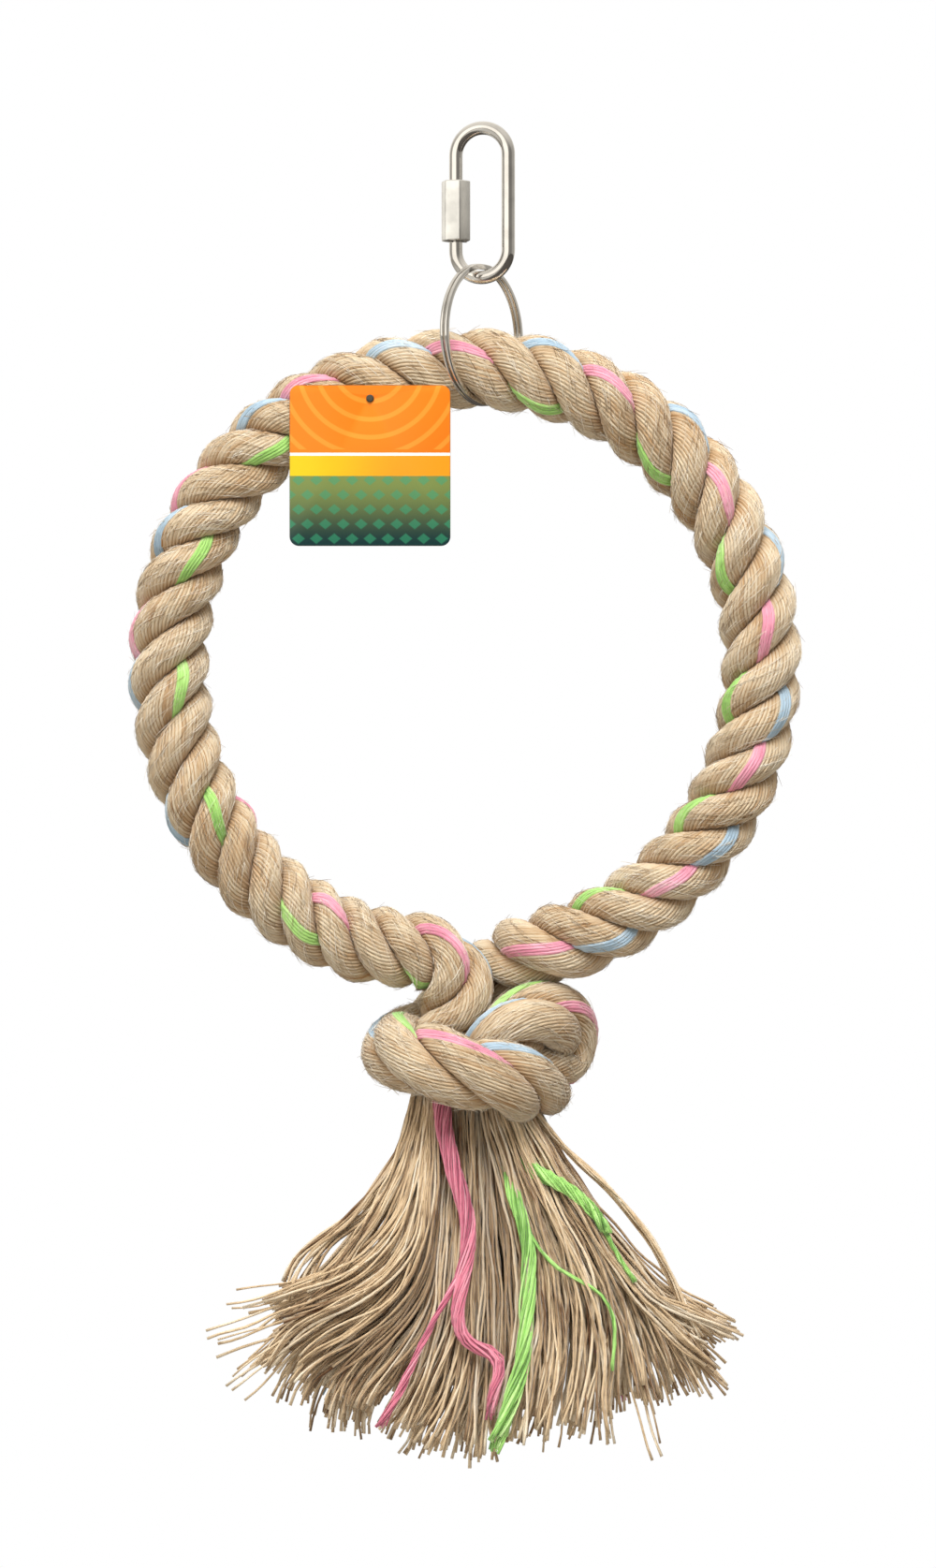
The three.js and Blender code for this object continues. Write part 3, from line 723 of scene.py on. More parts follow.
def set_painted_shade(mesh, hollow):
    """Marks how deep each point lies between the strands, or how far its lock lies in others'
    shade, as painted shade for the material.
    """
    depths = mesh.attributes.new("hollow", "FLOAT", "POINT").data
    depths.foreach_set("value", hollow.astype(np.float32).ravel())


# Routes

def smooth_route(places, step):
    """Even steps on the smooth curve that runs close by its places, from the first to the last."""
    places = np.asarray(places, float)
    held = np.vstack([2 * places[0] - places[1], places, 2 * places[-1] - places[-2]])
    u = np.linspace(0, 1, SPAN_STEPS, endpoint=False)[:, None]
    weights = [(1 - u) ** 3, 3 * u**3 - 6 * u**2 + 4, -3 * u**3 + 3 * u**2 + 3 * u + 1, u**3]
    spans = [
        sum(weight * held[i + k] for k, weight in enumerate(weights)) / 6
        for i in range(len(held) - 3)
    ]
    fine = np.vstack([*spans, held[-2]])
    lengths = np.concatenate([[0], np.cumsum(np.linalg.norm(np.diff(fine, axis=0), axis=1))])
    along = np.linspace(0, lengths[-1], max(2, round(lengths[-1] / step)) + 1)
    return np.column_stack([np.interp(along, lengths, fine[:, axis]) for axis in range(3)]), along


def carried_frames(points, out):
    """Directions out and to the side at each point, which the bends don't twist."""
    ahead = np.gradient(points, axis=0)
    ahead /= np.linalg.norm(ahead, axis=1)[:, None]
    outs = []
    for direction in ahead:
        out = out - direction * (out @ direction)
        out = out / np.linalg.norm(out)
        outs.append(out)
    outs = np.array(outs)
    return outs, np.cross(ahead, outs)


def rings_along(points, radii, sides):
    """Rings of points round a route, for a thin yarn."""
    outs, asides = carried_frames(points, np.array([0.3, 1.0, 0.2]))
    angles = (FULL_TURN * np.arange(sides) / sides)[None, :, None]
    radii = np.broadcast_to(radii, len(points))[:, None, None]
    spread = outs[:, None] * np.cos(angles) + asides[:, None] * np.sin(angles)
    return points[:, None] + spread * radii


def eased(values, low, high):
    """A smooth step from 0 to 1."""
    share = np.clip((values - low) / (high - low), 0, 1)
    return share**2 * (3 - 2 * share)


# Rope

def on_ring(degrees, radius):
    """A place on the ring, which the knot pulls a little out of round."""
    angle = math.radians(degrees)
    radius -= RING_LEAN * math.cos(angle)
    for sag, bearing, narrowness in RING_SAG:
        radius += sag * max(0, math.cos(angle - math.radians(bearing))) ** narrowness
    return RING_CENTRE + radius * np.array([math.cos(angle), 0, math.sin(angle)])


def along_ring(degrees):
    """The length of rope from the top of the ring to a bearing."""
    bearings = np.linspace(RING_TOP, degrees, ARC_STEPS)
    places = np.array([on_ring(bearing, RING_RADIUS) for bearing in bearings])
    length = np.linalg.norm(np.diff(places, axis=0), axis=1).sum()
    return math.copysign(length, RING_TOP - degrees)


class Rope:
    """The route of the rope with its frames, the turn of its lay and its thickness."""

    def __init__(self):
        step = (RING_TO - RING_FROM) / RING_STEPS
        radius = RING_RADIUS * 3 / (2 + math.cos(math.radians(step)))
        ring = [on_ring(RING_FROM + i * step, radius) for i in range(RING_STEPS + 1)]
        left = [KNOT_TOP + ROPE_DIAMETER * np.array(place) for place in LEFT_END]
        right = [KNOT_TOP + ROPE_DIAMETER * np.array(place) for place in RIGHT_END]
        self.places, self.along = smooth_route([*left, *ring, *right], ROPE_STEP)
        self.outs, self.asides = carried_frames(self.places, np.array([0.0, 1, 0]))
        top = int(np.argmax(self.places[:, 2]))
        self.from_top = self.along - self.along[top]
        self.in_knot = eased(self.from_top, KNOT_FROM, KNOT_FROM + KNOT_EASE)
        lean = math.atan2(self.asides[top, 2], self.outs[top, 2])
        rate = FULL_TURN / (ROPE_LAY + (KNOT_LAY - ROPE_LAY) * self.in_knot)
        turn = np.concatenate([[0], np.cumsum((rate[1:] + rate[:-1]) / 2 * np.diff(self.along))])
        bearing = RING_TOP - np.degrees(self.from_top / RING_RADIUS)
        lead = np.interp(bearing, *zip(*LAY_LEAD)) + KNOT_SLIP * self.in_knot
        self.turn = lean + turn - turn[top] + np.radians(lead)
        self.yarn_turn = -YARN_TWIST * self.turn
        away = self.places - KNOT_TOP
        rise = np.sqrt(away[:, 0] ** 2 + away[:, 1] ** 2 + np.maximum(away[:, 2], 0) ** 2)
        outside = np.where(away[:, 2] > -ROPE_DIAMETER / 4, eased(rise, *SQUEEZE_FADE), 0)
        squeeze = KNOT_SQUEEZE + (1 - KNOT_SQUEEZE) * outside
        to_end = np.minimum(self.along, self.along[-1] - self.along)
        self.scale = squeeze * (ROPE_TIP + (1 - ROPE_TIP) * eased(to_end, 0, ROPE_TAPER))

    def marker_runs(self, name):
        """The strand, the turns and the stops along the rope of each run of a marker."""
        on_ring_places = [(name, along_ring(bearing)) for bearing in MARKER_PLACES[name]]
        for strand, place in [*on_ring_places, *KNOT_MARKERS[name]]:
            turns = self.yarn_turn - np.interp(place, self.from_top, self.yarn_turn)
            yield strand, turns, np.flatnonzero(np.abs(turns) < MARKER_REACH)

    def around(self, name, turns, radii, stops=slice(None)):
        """Points in the sections of a strand, at angles and radii about its middle."""
        crown = (self.turn[stops] + math.radians(STRAND_STARTS[name]))[:, None]
        out = self.outs[stops][:, None]
        aside = self.asides[stops][:, None]
        scale = self.scale[stops][:, None]

        def direction(angle):
            return out * np.cos(angle)[..., None] + aside * np.sin(angle)[..., None]

        middle = self.places[stops][:, None] + direction(crown) * (STRAND_MIDDLE * scale)[..., None]
        return pressed(middle + direction(crown + turns) * (radii * scale)[..., None])


def from_pin(points):
    return np.hypot(points[..., 0] - PIN_PLACE[0], points[..., 2] - PIN_PLACE[1])


def pressed(points):
    """The rope that the tag swings over, set back a little to clear the card."""
    press = PRESS_SHARE * (1 - eased(from_pin(points), TAG_REACH, TAG_REACH + PRESS_FADE))
    points[..., 1] -= press * np.minimum(points[..., 1] - PRESS_FROM, 0)
    return points


def strand_reach(angles):
    """A strand's outline: round outside, flat where it leans on the others and at the heart."""
    angles = np.arctan2(np.sin(angles), np.cos(angles))
    flank = math.radians(STRAND_FLANK_TURN)
    limits = [
        np.full_like(angles, STRAND_RADIUS),
        STRAND_FLANK / np.maximum(np.sin(angles - flank), TINY),
        STRAND_FLANK / np.maximum(np.sin(-angles - flank), TINY),
        STRAND_HEART / np.maximum(-np.cos(angles), TINY),
    ]
    return sum(limit**-STRAND_BLEND for limit in limits) ** (-1 / STRAND_BLEND)


def unevenness(count, along, slow, quick):
    """Random rises and dips along each of some yarns."""
    phase = draw.uniform(0, FULL_TURN, (2, count))
    pace = draw.uniform(*UNEVEN_PACES, (2, count))
    waves = slow * np.sin(along[:, None] * pace[0] / UNEVEN_LENGTHS[0] + phase[0])
    return waves + quick * np.sin(along[:, None] * pace[1] / UNEVEN_LENGTHS[1] + phase[1])


def add_strands(rope, jute):
    """Each strand is one skin with a ridge for each of its yarns."""
    steps = len(YARN_PROFILE)
    angles = FULL_TURN * np.arange(YARNS * steps) / (YARNS * steps)
    for name in STRAND_STARTS:
        turns = rope.yarn_turn[:, None] + angles[None]
        own = np.repeat(unevenness(YARNS, rope.along, *YARN_UNEVEN), steps, axis=1)
        radii = strand_reach(turns) + np.tile(YARN_PROFILE, YARNS)[None] + own
        skin = (rope.around(name, turns, radii), rope.along * MM, 0, YARNS)
        mesh = join_tubes(f"rope_strand_{name}", [skin])
        # Painted shade: the colour darkens from the crown towards the grooves beside the strand
        from_crown = np.abs(np.arctan2(np.sin(turns), np.cos(turns)))
        set_painted_shade(mesh, eased(from_crown, *np.radians(PAINTED_SHADE_TURNS)))
        strand = add_piece(f"rope_strand_{name}", "rope_ring", jute, mesh)
        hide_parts(f"strand_{name}")


def add_markers(rope, dyed):
    """The marker yarns lie side by side on the strand, a little proud of it."""
    for name in STRAND_STARTS:
        tubes = []
        for strand, turned, stops in rope.marker_runs(name):
            for i in range(MARKER_YARNS):
                turns = turned[stops] + (i - (MARKER_YARNS - 1) / 2) * MARKER_PITCH / STRAND_RADIUS
                own = unevenness(1, rope.along[stops], *MARKER_UNEVEN)[:, 0]
                radii = strand_reach(turns) + MARKER_PROUD - MARKER_RADIUS / 2 + own
                line = rope.around(strand, turns[:, None], radii[:, None], stops)[:, 0]
                sections = rings_along(line, MARKER_RADIUS * rope.scale[stops], MARKER_SIDES)
                tubes.append((sections, rope.along[stops] * MM, i, MAP_WIDTH))
        mesh = join_tubes(f"marker_yarn_{name}", tubes)
        add_piece(f"marker_yarn_{name}", "rope_ring", dyed[name], mesh)


def add_fuzz(rope, fibre):
    """Loose fibres: half of them lie on the strands, half stand off them, clear of the card."""
    tubes = [[], []]
    names = list(STRAND_STARTS)
    taper = np.array(FIBRE_TAPER)
    steps = len(taper)
    share = np.linspace(0, 1, steps)
    for i in range(FIBRES):
        standing = i % 2
        stop = int(draw.integers(BARE_STEPS[0], len(rope.along) - BARE_STEPS[1]))
        stops = np.arange(stop, stop + steps)[:: int(draw.choice([-1, 1]))]
        start = draw.uniform(-FIBRE_START, FIBRE_START)
        turned = share * draw.uniform(-FIBRE_TURN, FIBRE_TURN)
        turns = start + turned - FIBRE_LAY * (stops - stop)
        if standing:
            lift = draw.uniform(*STANDING_LIFT) * share**STANDING_CURVE
        else:
            lift = draw.uniform(*LYING_LIFT) * np.sin(share * math.pi)
        reach = strand_reach(turns) + lift
        curve = rope.around(names[i % 3], turns[:, None], reach[:, None], stops)[:, 0]
        if standing:
            curve = curve[0] + (curve - curve[0]) * draw.uniform(*STANDING_LENGTH)
        radii = draw.uniform(*(STANDING_RADIUS if standing else LYING_RADIUS)) * taper
        if from_pin(curve).min() > TAG_REACH or curve[:, 1].min() > TAG_FRONT + TAG_THICKNESS:
            sections = rings_along(curve, radii, FIBRE_SIDES)
            tubes[standing].append((sections, share * FIBRE_MAP_LENGTH, i + 0.5, 0.0))
    for standing, name in enumerate(("rope_fibres_lying", "rope_fibres_standing")):
        add_piece(name, "rope_ring", fibre, join_tubes(name, tubes[standing]))


# Tassel

# Locks of yarn on the front as the camera sees them, from the neck to the hem: how many yarns, how
# far they spread at the hem, and the way they go across and up
LOCKS = [
    (9, 2, [(-19.5, -285), (-21.1, -296), (-26.6, -307), (-33.1, -315.6), (-39.6, -324.3),
        (-49.4, -331), (-56, -336.3), (-59.3, -345), (-60, -356)]),
    (8, 3, [(-19, -285), (-22.8, -301.4), (-28.7, -315.6), (-36.4, -324.3), (-44, -329),
        (-51, -337), (-56.5, -348), (-59.5, -358)]),
    (13, 3, [(-18.5, -285), (-22, -302), (-27, -315), (-33, -325), (-38.5, -333), (-44, -341),
        (-53, -348), (-63, -354)]),
    (13, 3.5, [(-16.5, -285), (-19, -302), (-22, -316), (-27, -328), (-35, -337), (-45, -343),
        (-56, -347), (-66, -350)]),
    (4, 4.5, [(-16, -285), (-18.5, -303), (-21.5, -317), (-26, -328), (-34, -336.5),
        (-44, -341.5), (-56, -345), (-68, -348), (-78, -350)]),
    (16, 5, [(-15, -285), (-17, -305), (-19.5, -320), (-23, -332), (-30, -341), (-41, -347),
        (-53, -352), (-64, -357)]),
    (4, 6, [(-15, -285), (-17, -305), (-20, -322), (-26, -336), (-40, -347), (-55, -352),
        (-69, -357), (-85, -360)]),
    (5, 6, [(-16, -285), (-17, -309), (-19, -328), (-27, -342), (-40, -350), (-54, -357),
        (-66, -366), (-79, -376)]),
    (15, 5.5, [(-16, -285), (-17, -309), (-19, -328), (-27, -342), (-40, -350), (-54, -357),
        (-62, -365), (-68, -374)]),
    (18, 5.5, [(-15, -285), (-16, -311), (-18, -331), (-24, -345), (-36, -355), (-49, -362),
        (-58, -370), (-60, -381)]),
    (18, 5.5, [(-14, -285), (-15, -313), (-17, -333), (-22, -348), (-33, -358), (-44, -366),
        (-52, -374), (-53, -384)]),
    (18, 5.5, [(-13, -285), (-14, -316), (-15, -335), (-20, -350), (-30, -361), (-40, -370),
        (-45, -380), (-45, -392)]),
    (17, 5.5, [(-11, -285), (-12, -318), (-13, -337), (-17, -353), (-25, -364), (-34, -373),
        (-39, -383), (-39, -393)]),
    (17, 7, [(-10, -285), (-10, -320), (-11, -340), (-14, -355), (-20, -368), (-27, -379),
        (-32, -388), (-33, -393)]),
    (17, 7, [(-8, -285), (-7, -320), (-8, -340), (-10, -357), (-15, -372), (-21, -384),
        (-26, -394)]),
    (17, 7, [(-5, -285), (-5, -318), (-4, -340), (-6, -361), (-10, -378), (-16, -389),
        (-19, -398)]),
    (17, 7, [(-4, -285), (-2, -319), (-1, -342), (-2, -364), (-5, -381), (-9, -391),
        (-10, -400)]),
    (17, 7, [(-2, -285), (0, -319), (2, -343), (1, -365), (-1, -381), (-2, -391), (-3, -401)]),
    (16, 7, [(2, -288), (4, -311), (7, -332), (8, -354), (6, -372), (4, -385), (3, -397)]),
    (17, 7, [(2, -288), (7, -309), (12, -325), (14, -344), (14, -362), (12, -379), (8, -395)]),
    (17, 7, [(3, -288), (10, -309), (16, -324), (21, -342), (22, -361), (19, -379), (15, -394)]),
    (17, 7, [(5, -288), (13, -311), (20, -327), (27, -343), (29, -360), (26, -378), (22, -395)]),
    (17, 7, [(7, -288), (16, -313), (25, -330), (32, -345), (36, -362), (34, -379), (36, -394)]),
    (17, 7, [(8, -288), (19, -312), (30, -328), (38, -344), (43, -361), (44, -376), (46, -389)]),
    (17, 6.5, [(9, -288), (20, -311), (30, -327), (41, -342), (48, -358), (53, -371),
        (56, -383)]),
    (16, 6, [(9, -288), (21, -310), (32, -325), (43, -340), (53, -355), (60, -368), (65, -380)]),
    (14, 5, [(10, -288), (21, -309), (31, -323), (40, -338), (53, -353), (66, -366), (78, -379)]),
    (11, 4, [(11, -288), (20, -306), (29, -319), (36, -331), (44, -342), (52, -350), (63, -355),
        (77, -362)]),
    (9, 1.6, [(12, -288), (23, -303), (33.5, -312), (42.5, -321), (49.5, -330), (54.5, -338),
        (58, -346), (61, -354), (66, -362)]),
    (3, 3, [(10, -288), (22, -311), (33, -329), (41, -348), (46, -368), (50, -384), (55, -399)]),
]
# Locks that lie on top and catch the light, and locks that lie in their shade, painted on them as
# darker colour
PALE_LOCKS = (2, 3, 4, 5, 6, 7, 8, 9, 20, 21, 22)
DARK_LOCKS = (10, 11, 12, 13, 17, 18)
# The same locks lie in layers from front to back: how far forward, and the share of the yarns
FRONT_LAYERS = ((1, 1.0), (0.5, 0.5))
MIDDLE_LAYERS = ((0.1, 0.6), (-0.4, 0.6))
BACK_LAYERS = ((-1, 0.9),)
# Dyed locks by the CAD node that each stands for: the side, the height below which it lies on the
# others, and for each lock how many yarns, how far they spread at neck and hem, and the way
DYED_LOCKS = {
    "pink_tail_front": (1, -280, [
        (34, 2.6, 1.3, [(-12.2, -285), (-11.8, -294), (-10.5, -303), (-8.3, -311), (-5.7, -319),
            (-4, -326), (-4.2, -334), (-5.6, -341), (-6.8, -347), (-7.6, -354), (-6.4, -360),
            (-1.8, -363), (3.8, -364), (6.8, -369), (3.2, -376), (2.6, -387)]),
        (8, 0.7, 1.4, [(-4.2, -333), (-6.8, -341), (-11.3, -349), (-16, -358), (-20.6, -367),
            (-25, -376), (-32, -389)]),
    ]),
    "green_tail_front": (1, -311, [
        (30, 1.6, 2.4, [(6.1, -291), (6.6, -301), (7.8, -311), (9.8, -318), (12.3, -325),
            (13.9, -332), (14.4, -340), (13.9, -347), (13.5, -355), (13.2, -362), (11.3, -371),
            (8.1, -381), (2, -396)]),
        (5, 0.4, 0.5, [(13.2, -327), (16.4, -332), (19.7, -337), (25.2, -341), (31.7, -344),
            (36.8, -347), (39.6, -353), (40.1, -359), (39.1, -366), (38.8, -372)]),
    ]),
    "green_tail_side": (1, -306, [
        (34, 2.8, 1.5, [(7.2, -294), (8.9, -302), (11.8, -307.5), (15.9, -310), (21.3, -313),
            (26.6, -316), (31.2, -320), (35, -324), (38.5, -330)]),
        (8, 0.5, 0.8, [(31, -319.5), (36, -326), (39.9, -334), (43, -339), (46.4, -344)]),
    ]),
    "blue_tail_left": (-0.9, -280, [
        (14, 1.5, 3, [(-14, -274), (-14, -290), (-17, -318), (-27, -346), (-39, -366),
            (-47, -381)]),
    ]),
    "blue_tail_back": (-1, -280, [
        (14, 1.5, 3, [(-8, -274), (-4, -290), (-1, -324), (-1, -352), (-1, -374), (-3, -392)]),
    ]),
    "pink_tail_back": (-1, -280, [
        (14, 1.5, 3, [(5, -274), (8, -290), (18, -321), (29, -346), (38, -368), (42, -382)]),
    ]),
}
# How many yarns keep together, how far they wind round one another, how sharply each wavers
JUTE_CLUMP, JUTE_WIND, JUTE_KINK = 5, 0, 0.45
DYED_CLUMP, DYED_WIND, DYED_KINK = 40, 13, 0.15
JUTE_RADIUS = 0.41
DYED_RADIUS = 0.34
FULLNESS = 1.15
FEW_YARNS = 10
TASSEL_STEP = 4.0
TASSEL_SIDES = 5
# How late a lock fans out, how deep it is for its width, and the size of a clump in it
LOCK_FAN = 1.4
LOCK_DEPTH = 0.75
CLUMP_SIZE = 0.75
# The turn about a lock's middle from one yarn to the next, in radians, and how far clumps miss it
SPIRAL = 2.4
CLUMP_SLIP = 0.4
# How far clumps and yarns swing aside, by the spread of their lock, and how many radians of wave
# they have; kinks are shorter waves
CLUMP_SWING, CLUMP_WAVES = 0.35, (3, 9)
YARN_SWING, YARN_WAVES = 0.14, (5, 16)
KINK_WAVES = (22, 40)
WAVE_HEIGHTS = (0.4, 1)
# The share of yarns that stray and how much further they swing; where the tips curl and how far
STRAY_SHARE, STRAY_SWING = 0.25, 3
CURL_FROM, CURL_REACH = 0.75, 5
# How long clumps, yarns and a lock that is one clump are cut
CLUMP_CUTS, YARN_CUTS, WHOLE_CUT = (0.86, 1.0), (0.94, 1.0), 0.98
# How yarns differ in thickness, how each swells along its length, and how it ends
YARN_THICKNESS = (0.75, 1.2)
YARN_SWELL, SWELL_WAVES = 0.08, 25
YARN_END = 1.15
# Neck and belly of the tassel
TASSEL_TOP = -287
TASSEL_LENGTH = 105
TASSEL_HALF = 85
TASSEL_BELLY = 27
BELLY_CURVE = 0.8
SIDE_FLATNESS = 0.45
NECK_DEPTH = 7
NECK_CLOSING = 0.75
NECK_HEIGHT = 14
# The ends of the rope, across, in which the locks behind the front begin, and how far up
ROPE_ENDS = (-14.4, 4.5)
ENDS_PARTING = -3
ENDS_RISE = 16
# How locks differ: to the side and in depth behind the front, how far forward, and how much painted
# shade they get
LOCK_SHIFT = 4
LOCK_DRIFT = 0.25
LOCK_LIFT = (-3, 2.5)
LOCK_SHADE = (0.05, 0.6)
INSIDE_SHADE = 0.4
PALE_LIFT, PALE_SHADE = 2, 0
DARK_LIFT, DARK_SHADE = -4, 1.1
# How far a dyed lock lies on the others where it shows, and how it sinks in above
DYED_LIFT = 5
DYED_SINK = 11
DYED_EASE = 8


def as_seen(way):
    """Moves places in the picture's plane to their depth, along the camera's line of sight."""
    way = np.array(way, float)
    share = 1 + way[:, 1] / CAMERA_DISTANCE
    way[:, 0] = PICTURE_CENTRE[0] + (way[:, 0] - PICTURE_CENTRE[0]) * share
    way[:, 2] = PICTURE_CENTRE[2] + (way[:, 2] - PICTURE_CENTRE[2]) * share
    return way


def at_depth(way, side, lift):
    """Sets a way across and up at its depth; the tassel bellies out and is flatter at its sides."""
    across, up = np.array(way, float).T
    low = np.clip((TASSEL_TOP - up) / TASSEL_LENGTH, 0, 1)
    neck = NECK_DEPTH * (1 - NECK_CLOSING * eased(up, TASSEL_TOP, TASSEL_TOP + NECK_HEIGHT))
    flat = 1 - SIDE_FLATNESS * (across / TASSEL_HALF) ** 2
    depth = (neck + TASSEL_BELLY * low**BELLY_CURVE) * flat + lift
    return as_seen(np.column_stack([across, -side * depth, up]))


def wave(share, size, low, high):
    """A random wave along a yarn."""
    height = draw.uniform(*WAVE_HEIGHTS) * size
    return height * np.sin(share * draw.uniform(low, high) + draw.uniform(0, FULL_TURN))


def lock_tubes(count, way, root, spread, clump, radius, wind, kink, first):
    """Yarns that keep to small clumps in a lock, fan out, waver and are cut unevenly."""
    guide, along = smooth_route(way, TASSEL_STEP)
    share = along / along[-1]
    outs, asides = carried_frames(guide, np.array([0.2, 1.0, 0.1]))
    reach = root + (spread - root) * share**LOCK_FAN
    clumps = max(1, round(count / clump))
    crowding = CLUMP_SIZE / math.sqrt(clumps) if clumps > 1 else 1.0
    tubes = []
    for i in range(count):
        if i % math.ceil(count / clumps) == 0:
            bearing = SPIRAL * len(tubes) / clump + draw.uniform(-CLUMP_SLIP, CLUMP_SLIP)
            far = math.sqrt(i / count + 0.5 / clumps) if clumps > 1 else 0
            sway = [wave(share, CLUMP_SWING * spread, *CLUMP_WAVES) * share for _ in range(2)]
            length = draw.uniform(*CLUMP_CUTS) if clumps > 1 else WHOLE_CUT
        inner = math.sqrt(((i * clumps / count) % 1) + 0.1) * crowding
        around, spoke = bearing + wind * share, SPIRAL * i + wind * share
        swing = YARN_SWING * spread * (1 if draw.random() > STRAY_SHARE else STRAY_SWING)
        one = reach * (far * np.cos(around) + inner * np.cos(spoke)) + sway[0]
        two = reach * (far * np.sin(around) + inner * np.sin(spoke)) + sway[1]
        waver = [
            wave(share, swing, *YARN_WAVES) * share + wave(share, kink, *KINK_WAVES)
            for _ in range(2)
        ]
        tip = np.maximum(share - CURL_FROM, 0) ** 2
        curl = tip * draw.uniform(-CURL_REACH, CURL_REACH) * spread
        outward, sideways = LOCK_DEPTH * one + waver[0], two + waver[1] + curl
        line = guide + outs * outward[:, None] + asides * sideways[:, None]
        cut = length * draw.uniform(*YARN_CUTS)
        stops = np.linspace(0, cut, len(share))
        line = np.column_stack([np.interp(stops, share, line[:, axis]) for axis in range(3)])
        swell = 1 + YARN_SWELL * np.sin(share * SWELL_WAVES + i)
        radii = radius * draw.uniform(*YARN_THICKNESS) * swell
        radii[-1] *= YARN_END
        sections = rings_along(line, radii, TASSEL_SIDES)
        tubes.append((sections, along * cut * MM, first + i, MAP_WIDTH))
    return tubes


def laid_lock(i, way, side):
    """The way of a lock in its layer, and how much painted shade the locks about it leave on it."""
    inside = abs(side) < 1
    if side < 1:
        way = [(ROPE_ENDS[int(way[0][0] > ENDS_PARTING)], TASSEL_TOP + ENDS_RISE), *way]
    shift = np.linspace(0, draw.uniform(-LOCK_SHIFT, LOCK_SHIFT) * (side < 1), len(way))
    way = np.array(way) + np.column_stack([shift, np.abs(shift) / 2])
    lift, shade = draw.uniform(*LOCK_LIFT), draw.uniform(*LOCK_SHADE)
    if inside:
        shade += INSIDE_SHADE
    elif i in PALE_LOCKS:
        lift, shade = PALE_LIFT, PALE_SHADE
    elif i in DARK_LOCKS:
        lift, shade = DARK_LIFT, DARK_SHADE
    drift = draw.uniform(-LOCK_DRIFT, LOCK_DRIFT) * inside
    return at_depth(way, side + drift, lift), shade


def shaded_yarn(tube, shade):
    """The painted shade on a yarn's points, which fades towards the hem."""
    rings, sides, _ = tube[0].shape
    return np.repeat(shade * (1 - np.linspace(0, 1, rings) ** 3), sides)


def add_tassel(jute):
    """Jute locks, layer behind layer."""
    layers_of = {"front": FRONT_LAYERS, "middle": MIDDLE_LAYERS, "back": BACK_LAYERS}
    for place, layers in layers_of.items():
        tubes, shades = [], []
        for side, share in layers:
            for i, (count, spread, way) in enumerate(LOCKS):
                if side == 1 or count > FEW_YARNS:
                    way, shade = laid_lock(i, way, side)
                    tubes += lock_tubes(
                        round(count * share * FULLNESS), way, 0.4 * spread + 0.4, spread,
                        JUTE_CLUMP, JUTE_RADIUS, JUTE_WIND, JUTE_KINK, len(tubes),
                    )
                    shades += [shade] * (len(tubes) - len(shades))
        name = f"tassel_{place}_yarns"
        mesh = join_tubes(name, tubes)
        # Painted shade: darker colour on locks that others shade and on the inner layers, fading
        # towards the hem
        set_painted_shade(mesh, np.concatenate([shaded_yarn(*pair) for pair in zip(tubes, shades)]))
        tassel = add_piece(name, "rope_ring", jute, mesh)
        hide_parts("tassel")


def add_dyed_tails(dyed):
    """The ends of the marker yarns, on top of the jute where they show and sunk into it above."""
    for node, (side, shown_below, locks) in DYED_LOCKS.items():
        tubes = []
        for count, root, spread, way in locks:
            up = np.array(way)[:, 1]
            sunk = eased(up, shown_below - DYED_EASE, shown_below + DYED_EASE)
            tubes += lock_tubes(
                count, at_depth(way, side, DYED_LIFT - DYED_SINK * sunk), root, spread,
                DYED_CLUMP, DYED_RADIUS, DYED_WIND, DYED_KINK, len(tubes),
            )
        name = node.split("_")[0]
        mesh = join_tubes(f"{node}_yarns", tubes)
        tail = add_piece(f"{node}_yarns", "rope_ring", dyed[name], mesh)
        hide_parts(node)


# Stage

def add_camera():
    """The photo's view."""
    lens = bpy.data.cameras.new("photo_camera")
    lens.lens = CAMERA_LENS
    lens.sensor_width = SENSOR
    camera = bpy.data.objects.new("photo_camera", lens)
    camera.location = metres(PICTURE_CENTRE[0], -CAMERA_DISTANCE, PICTURE_CENTRE[2])
    camera.rotation_euler = (math.pi / 2, 0, 0)
    bpy.context.scene.collection.objects.link(camera)
    bpy.context.scene.camera = camera


def add_lamp(name, place, size, power):
    """A soft lamp that faces the middle of the object."""
    lamp = bpy.data.lights.new(name, "AREA")
    lamp.shape = "RECTANGLE"
    lamp.size, lamp.size_y = size
    lamp.energy = power
    held = bpy.data.objects.new(name, lamp)
    held.location = place
    way = Vector(metres(*PICTURE_CENTRE)) - held.location
    held.rotation_euler = way.to_track_quat("-Z", "Y").to_euler()
    held.visible_glossy = False
    bpy.context.scene.collection.objects.link(held)


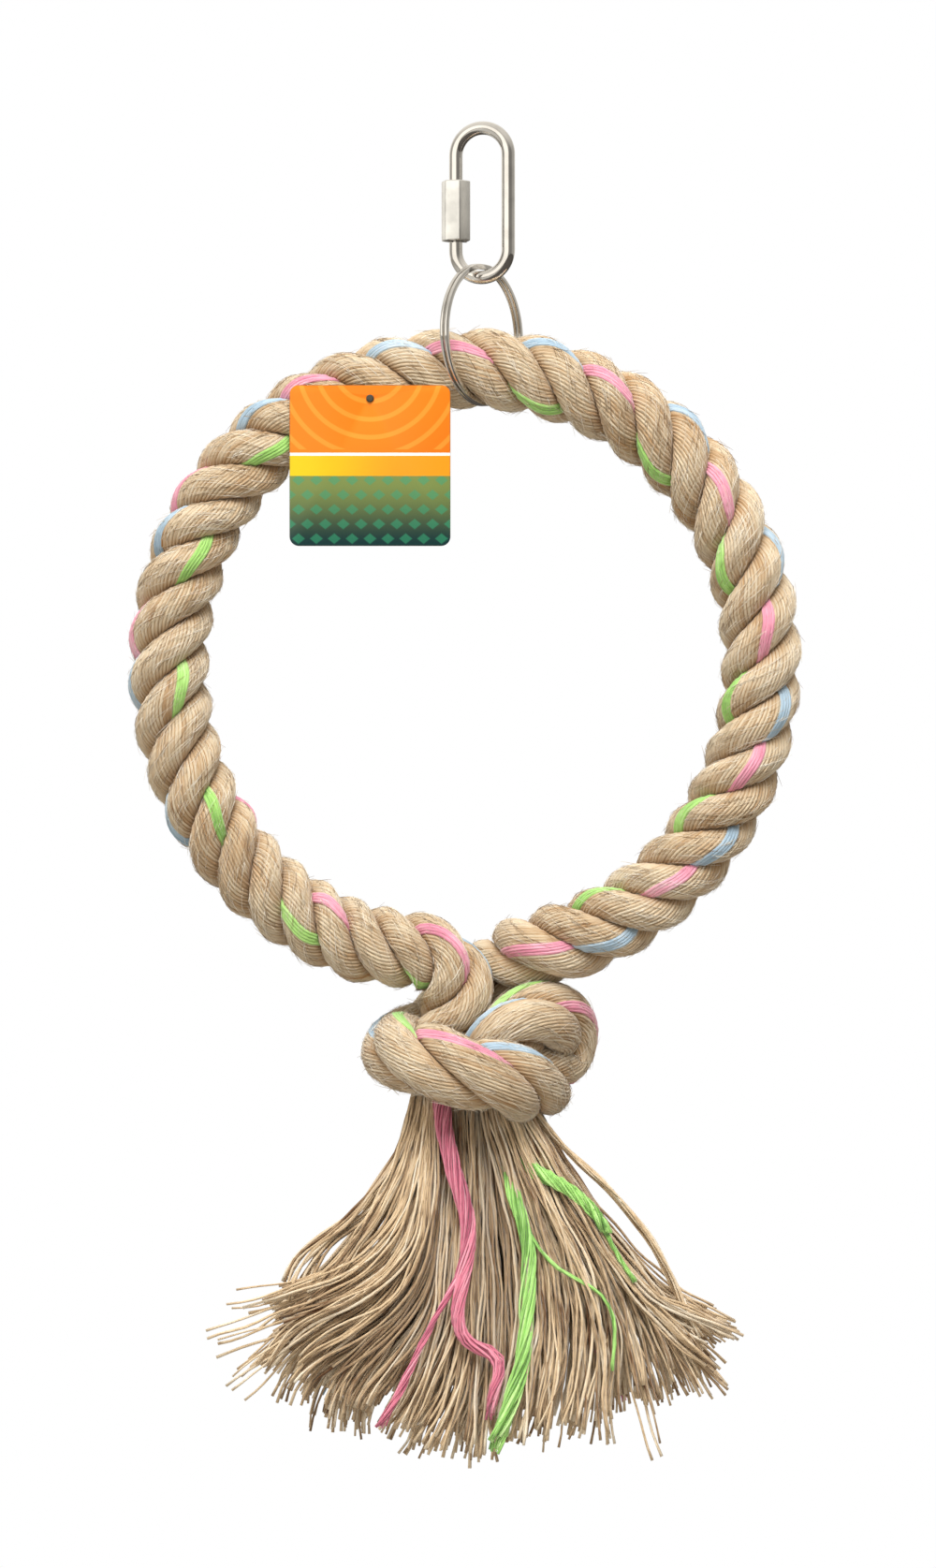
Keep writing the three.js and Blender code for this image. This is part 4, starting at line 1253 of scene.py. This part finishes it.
def add_world():
    """White behind the object for the camera, and a lit room with soft panels for all else."""
    world = bpy.data.worlds.new("studio")
    bpy.context.scene.world = world
    world.use_nodes = True
    room = Nodes(world.node_tree)
    x, y, z = room.split(room.node("TexCoord", {}, {}, out="Generated"))
    ceiling = z.ease(0.2, 0.9)
    backdrop = y.ease(0.2, 0.8)
    left_panel = (x * -0.57 - y * 0.82).ease(0.7, 0.88)
    right_gap = (x * 0.6 - y * 0.8).ease(0.82, 0.94)
    left_rear = x.ease(-0.35, -0.6) * y.ease(0.5, 0.8)
    ground = z.ease(-0.1, -0.6)
    panels = 0.38 + ceiling * 0.45 + backdrop * 0.3 + left_panel * 0.95 + left_rear * 0.5
    light = panels - right_gap * 0.16 - ground * 0.24
    warm = room.node("CombineColor", {}, {0: light, 1: light * 0.95, 2: light * 0.86})
    seen = room.node("LightPath", {}, {}, out="Is Camera Ray")
    colour = room.mix(seen, warm, (1, 1, 1, 1))
    room.feed(world.node_tree.nodes["Background"].inputs["Color"], colour)


def add_floor():
    """A pale floor, white to the camera; its right half is dim where steel mirrors it."""
    bpy.ops.mesh.primitive_plane_add(size=12, location=metres(0, 0, FLOOR_Z))
    floor = bpy.context.object
    floor.name = "floor"
    look = Look("pale_floor", Roughness=0.9)
    seen = look.node("LightPath", {}, {}, out="Is Camera Ray")
    mirrored = look.node("LightPath", {}, {}, out="Is Glossy Ray")
    glow = look.node("Emission", {}, {"Color": (1, 1, 1, 1)})
    x, _, _ = look.split(look.place())
    pale, dim = (0.38, 0.37, 0.35, 1), (0.05, 0.045, 0.04, 1)
    look.feed(look.shader.inputs["Base Color"], look.mix(mirrored * x.ease(-0.4, -0.05), pale, dim))
    shown = look.node("MixShader", {}, {0: seen, 1: Value(look, look.shader.outputs[0]), 2: glow})
    look.feed(look.tree.nodes["Material Output"].inputs["Surface"], shown)
    floor.data.materials.append(look.material)
    bpy.ops.object.select_all(action="DESELECT")


bpy.ops.object.select_all(action="DESELECT")
bpy.context.scene.view_settings.view_transform = "Standard"
add_camera()
add_world()
add_floor()
add_lamp("key_lamp", (0.05, -1.5, 1.75), (1.6, 1.2), 68)
add_lamp("top_lamp", (0.1, 0.0, 1.4), (1.2, 0.8), 9)

yarns = {name: yarn_look(name, *look) for name, look in YARN_LOOKS.items()}
bright_steel = steel_look("bright_steel", (0.84, 0.82, 0.79, 1), 0.04, 0.13, 0.04)
satin_steel = steel_look("satin_steel", (0.95, 0.95, 0.93, 1), 0.28, 0.46, 0.2)

add_link(bright_steel)
add_nut(satin_steel)
add_split_ring(bright_steel)
add_tag(print_look())
add_pin(plastic_look())
rope = Rope()
add_strands(rope, yarns["jute"])
add_markers(rope, {name: yarns[f"{name}_jute"] for name in STRAND_STARTS})
add_fuzz(rope, yarns["jute_fibre"])
add_tassel(yarns["loose_jute"])
add_dyed_tails({name: yarns[f"loose_{name}_jute"] for name in STRAND_STARTS})
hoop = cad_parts["hoop_wire"].data.materials
hoop.clear()
hoop.append(satin_steel)
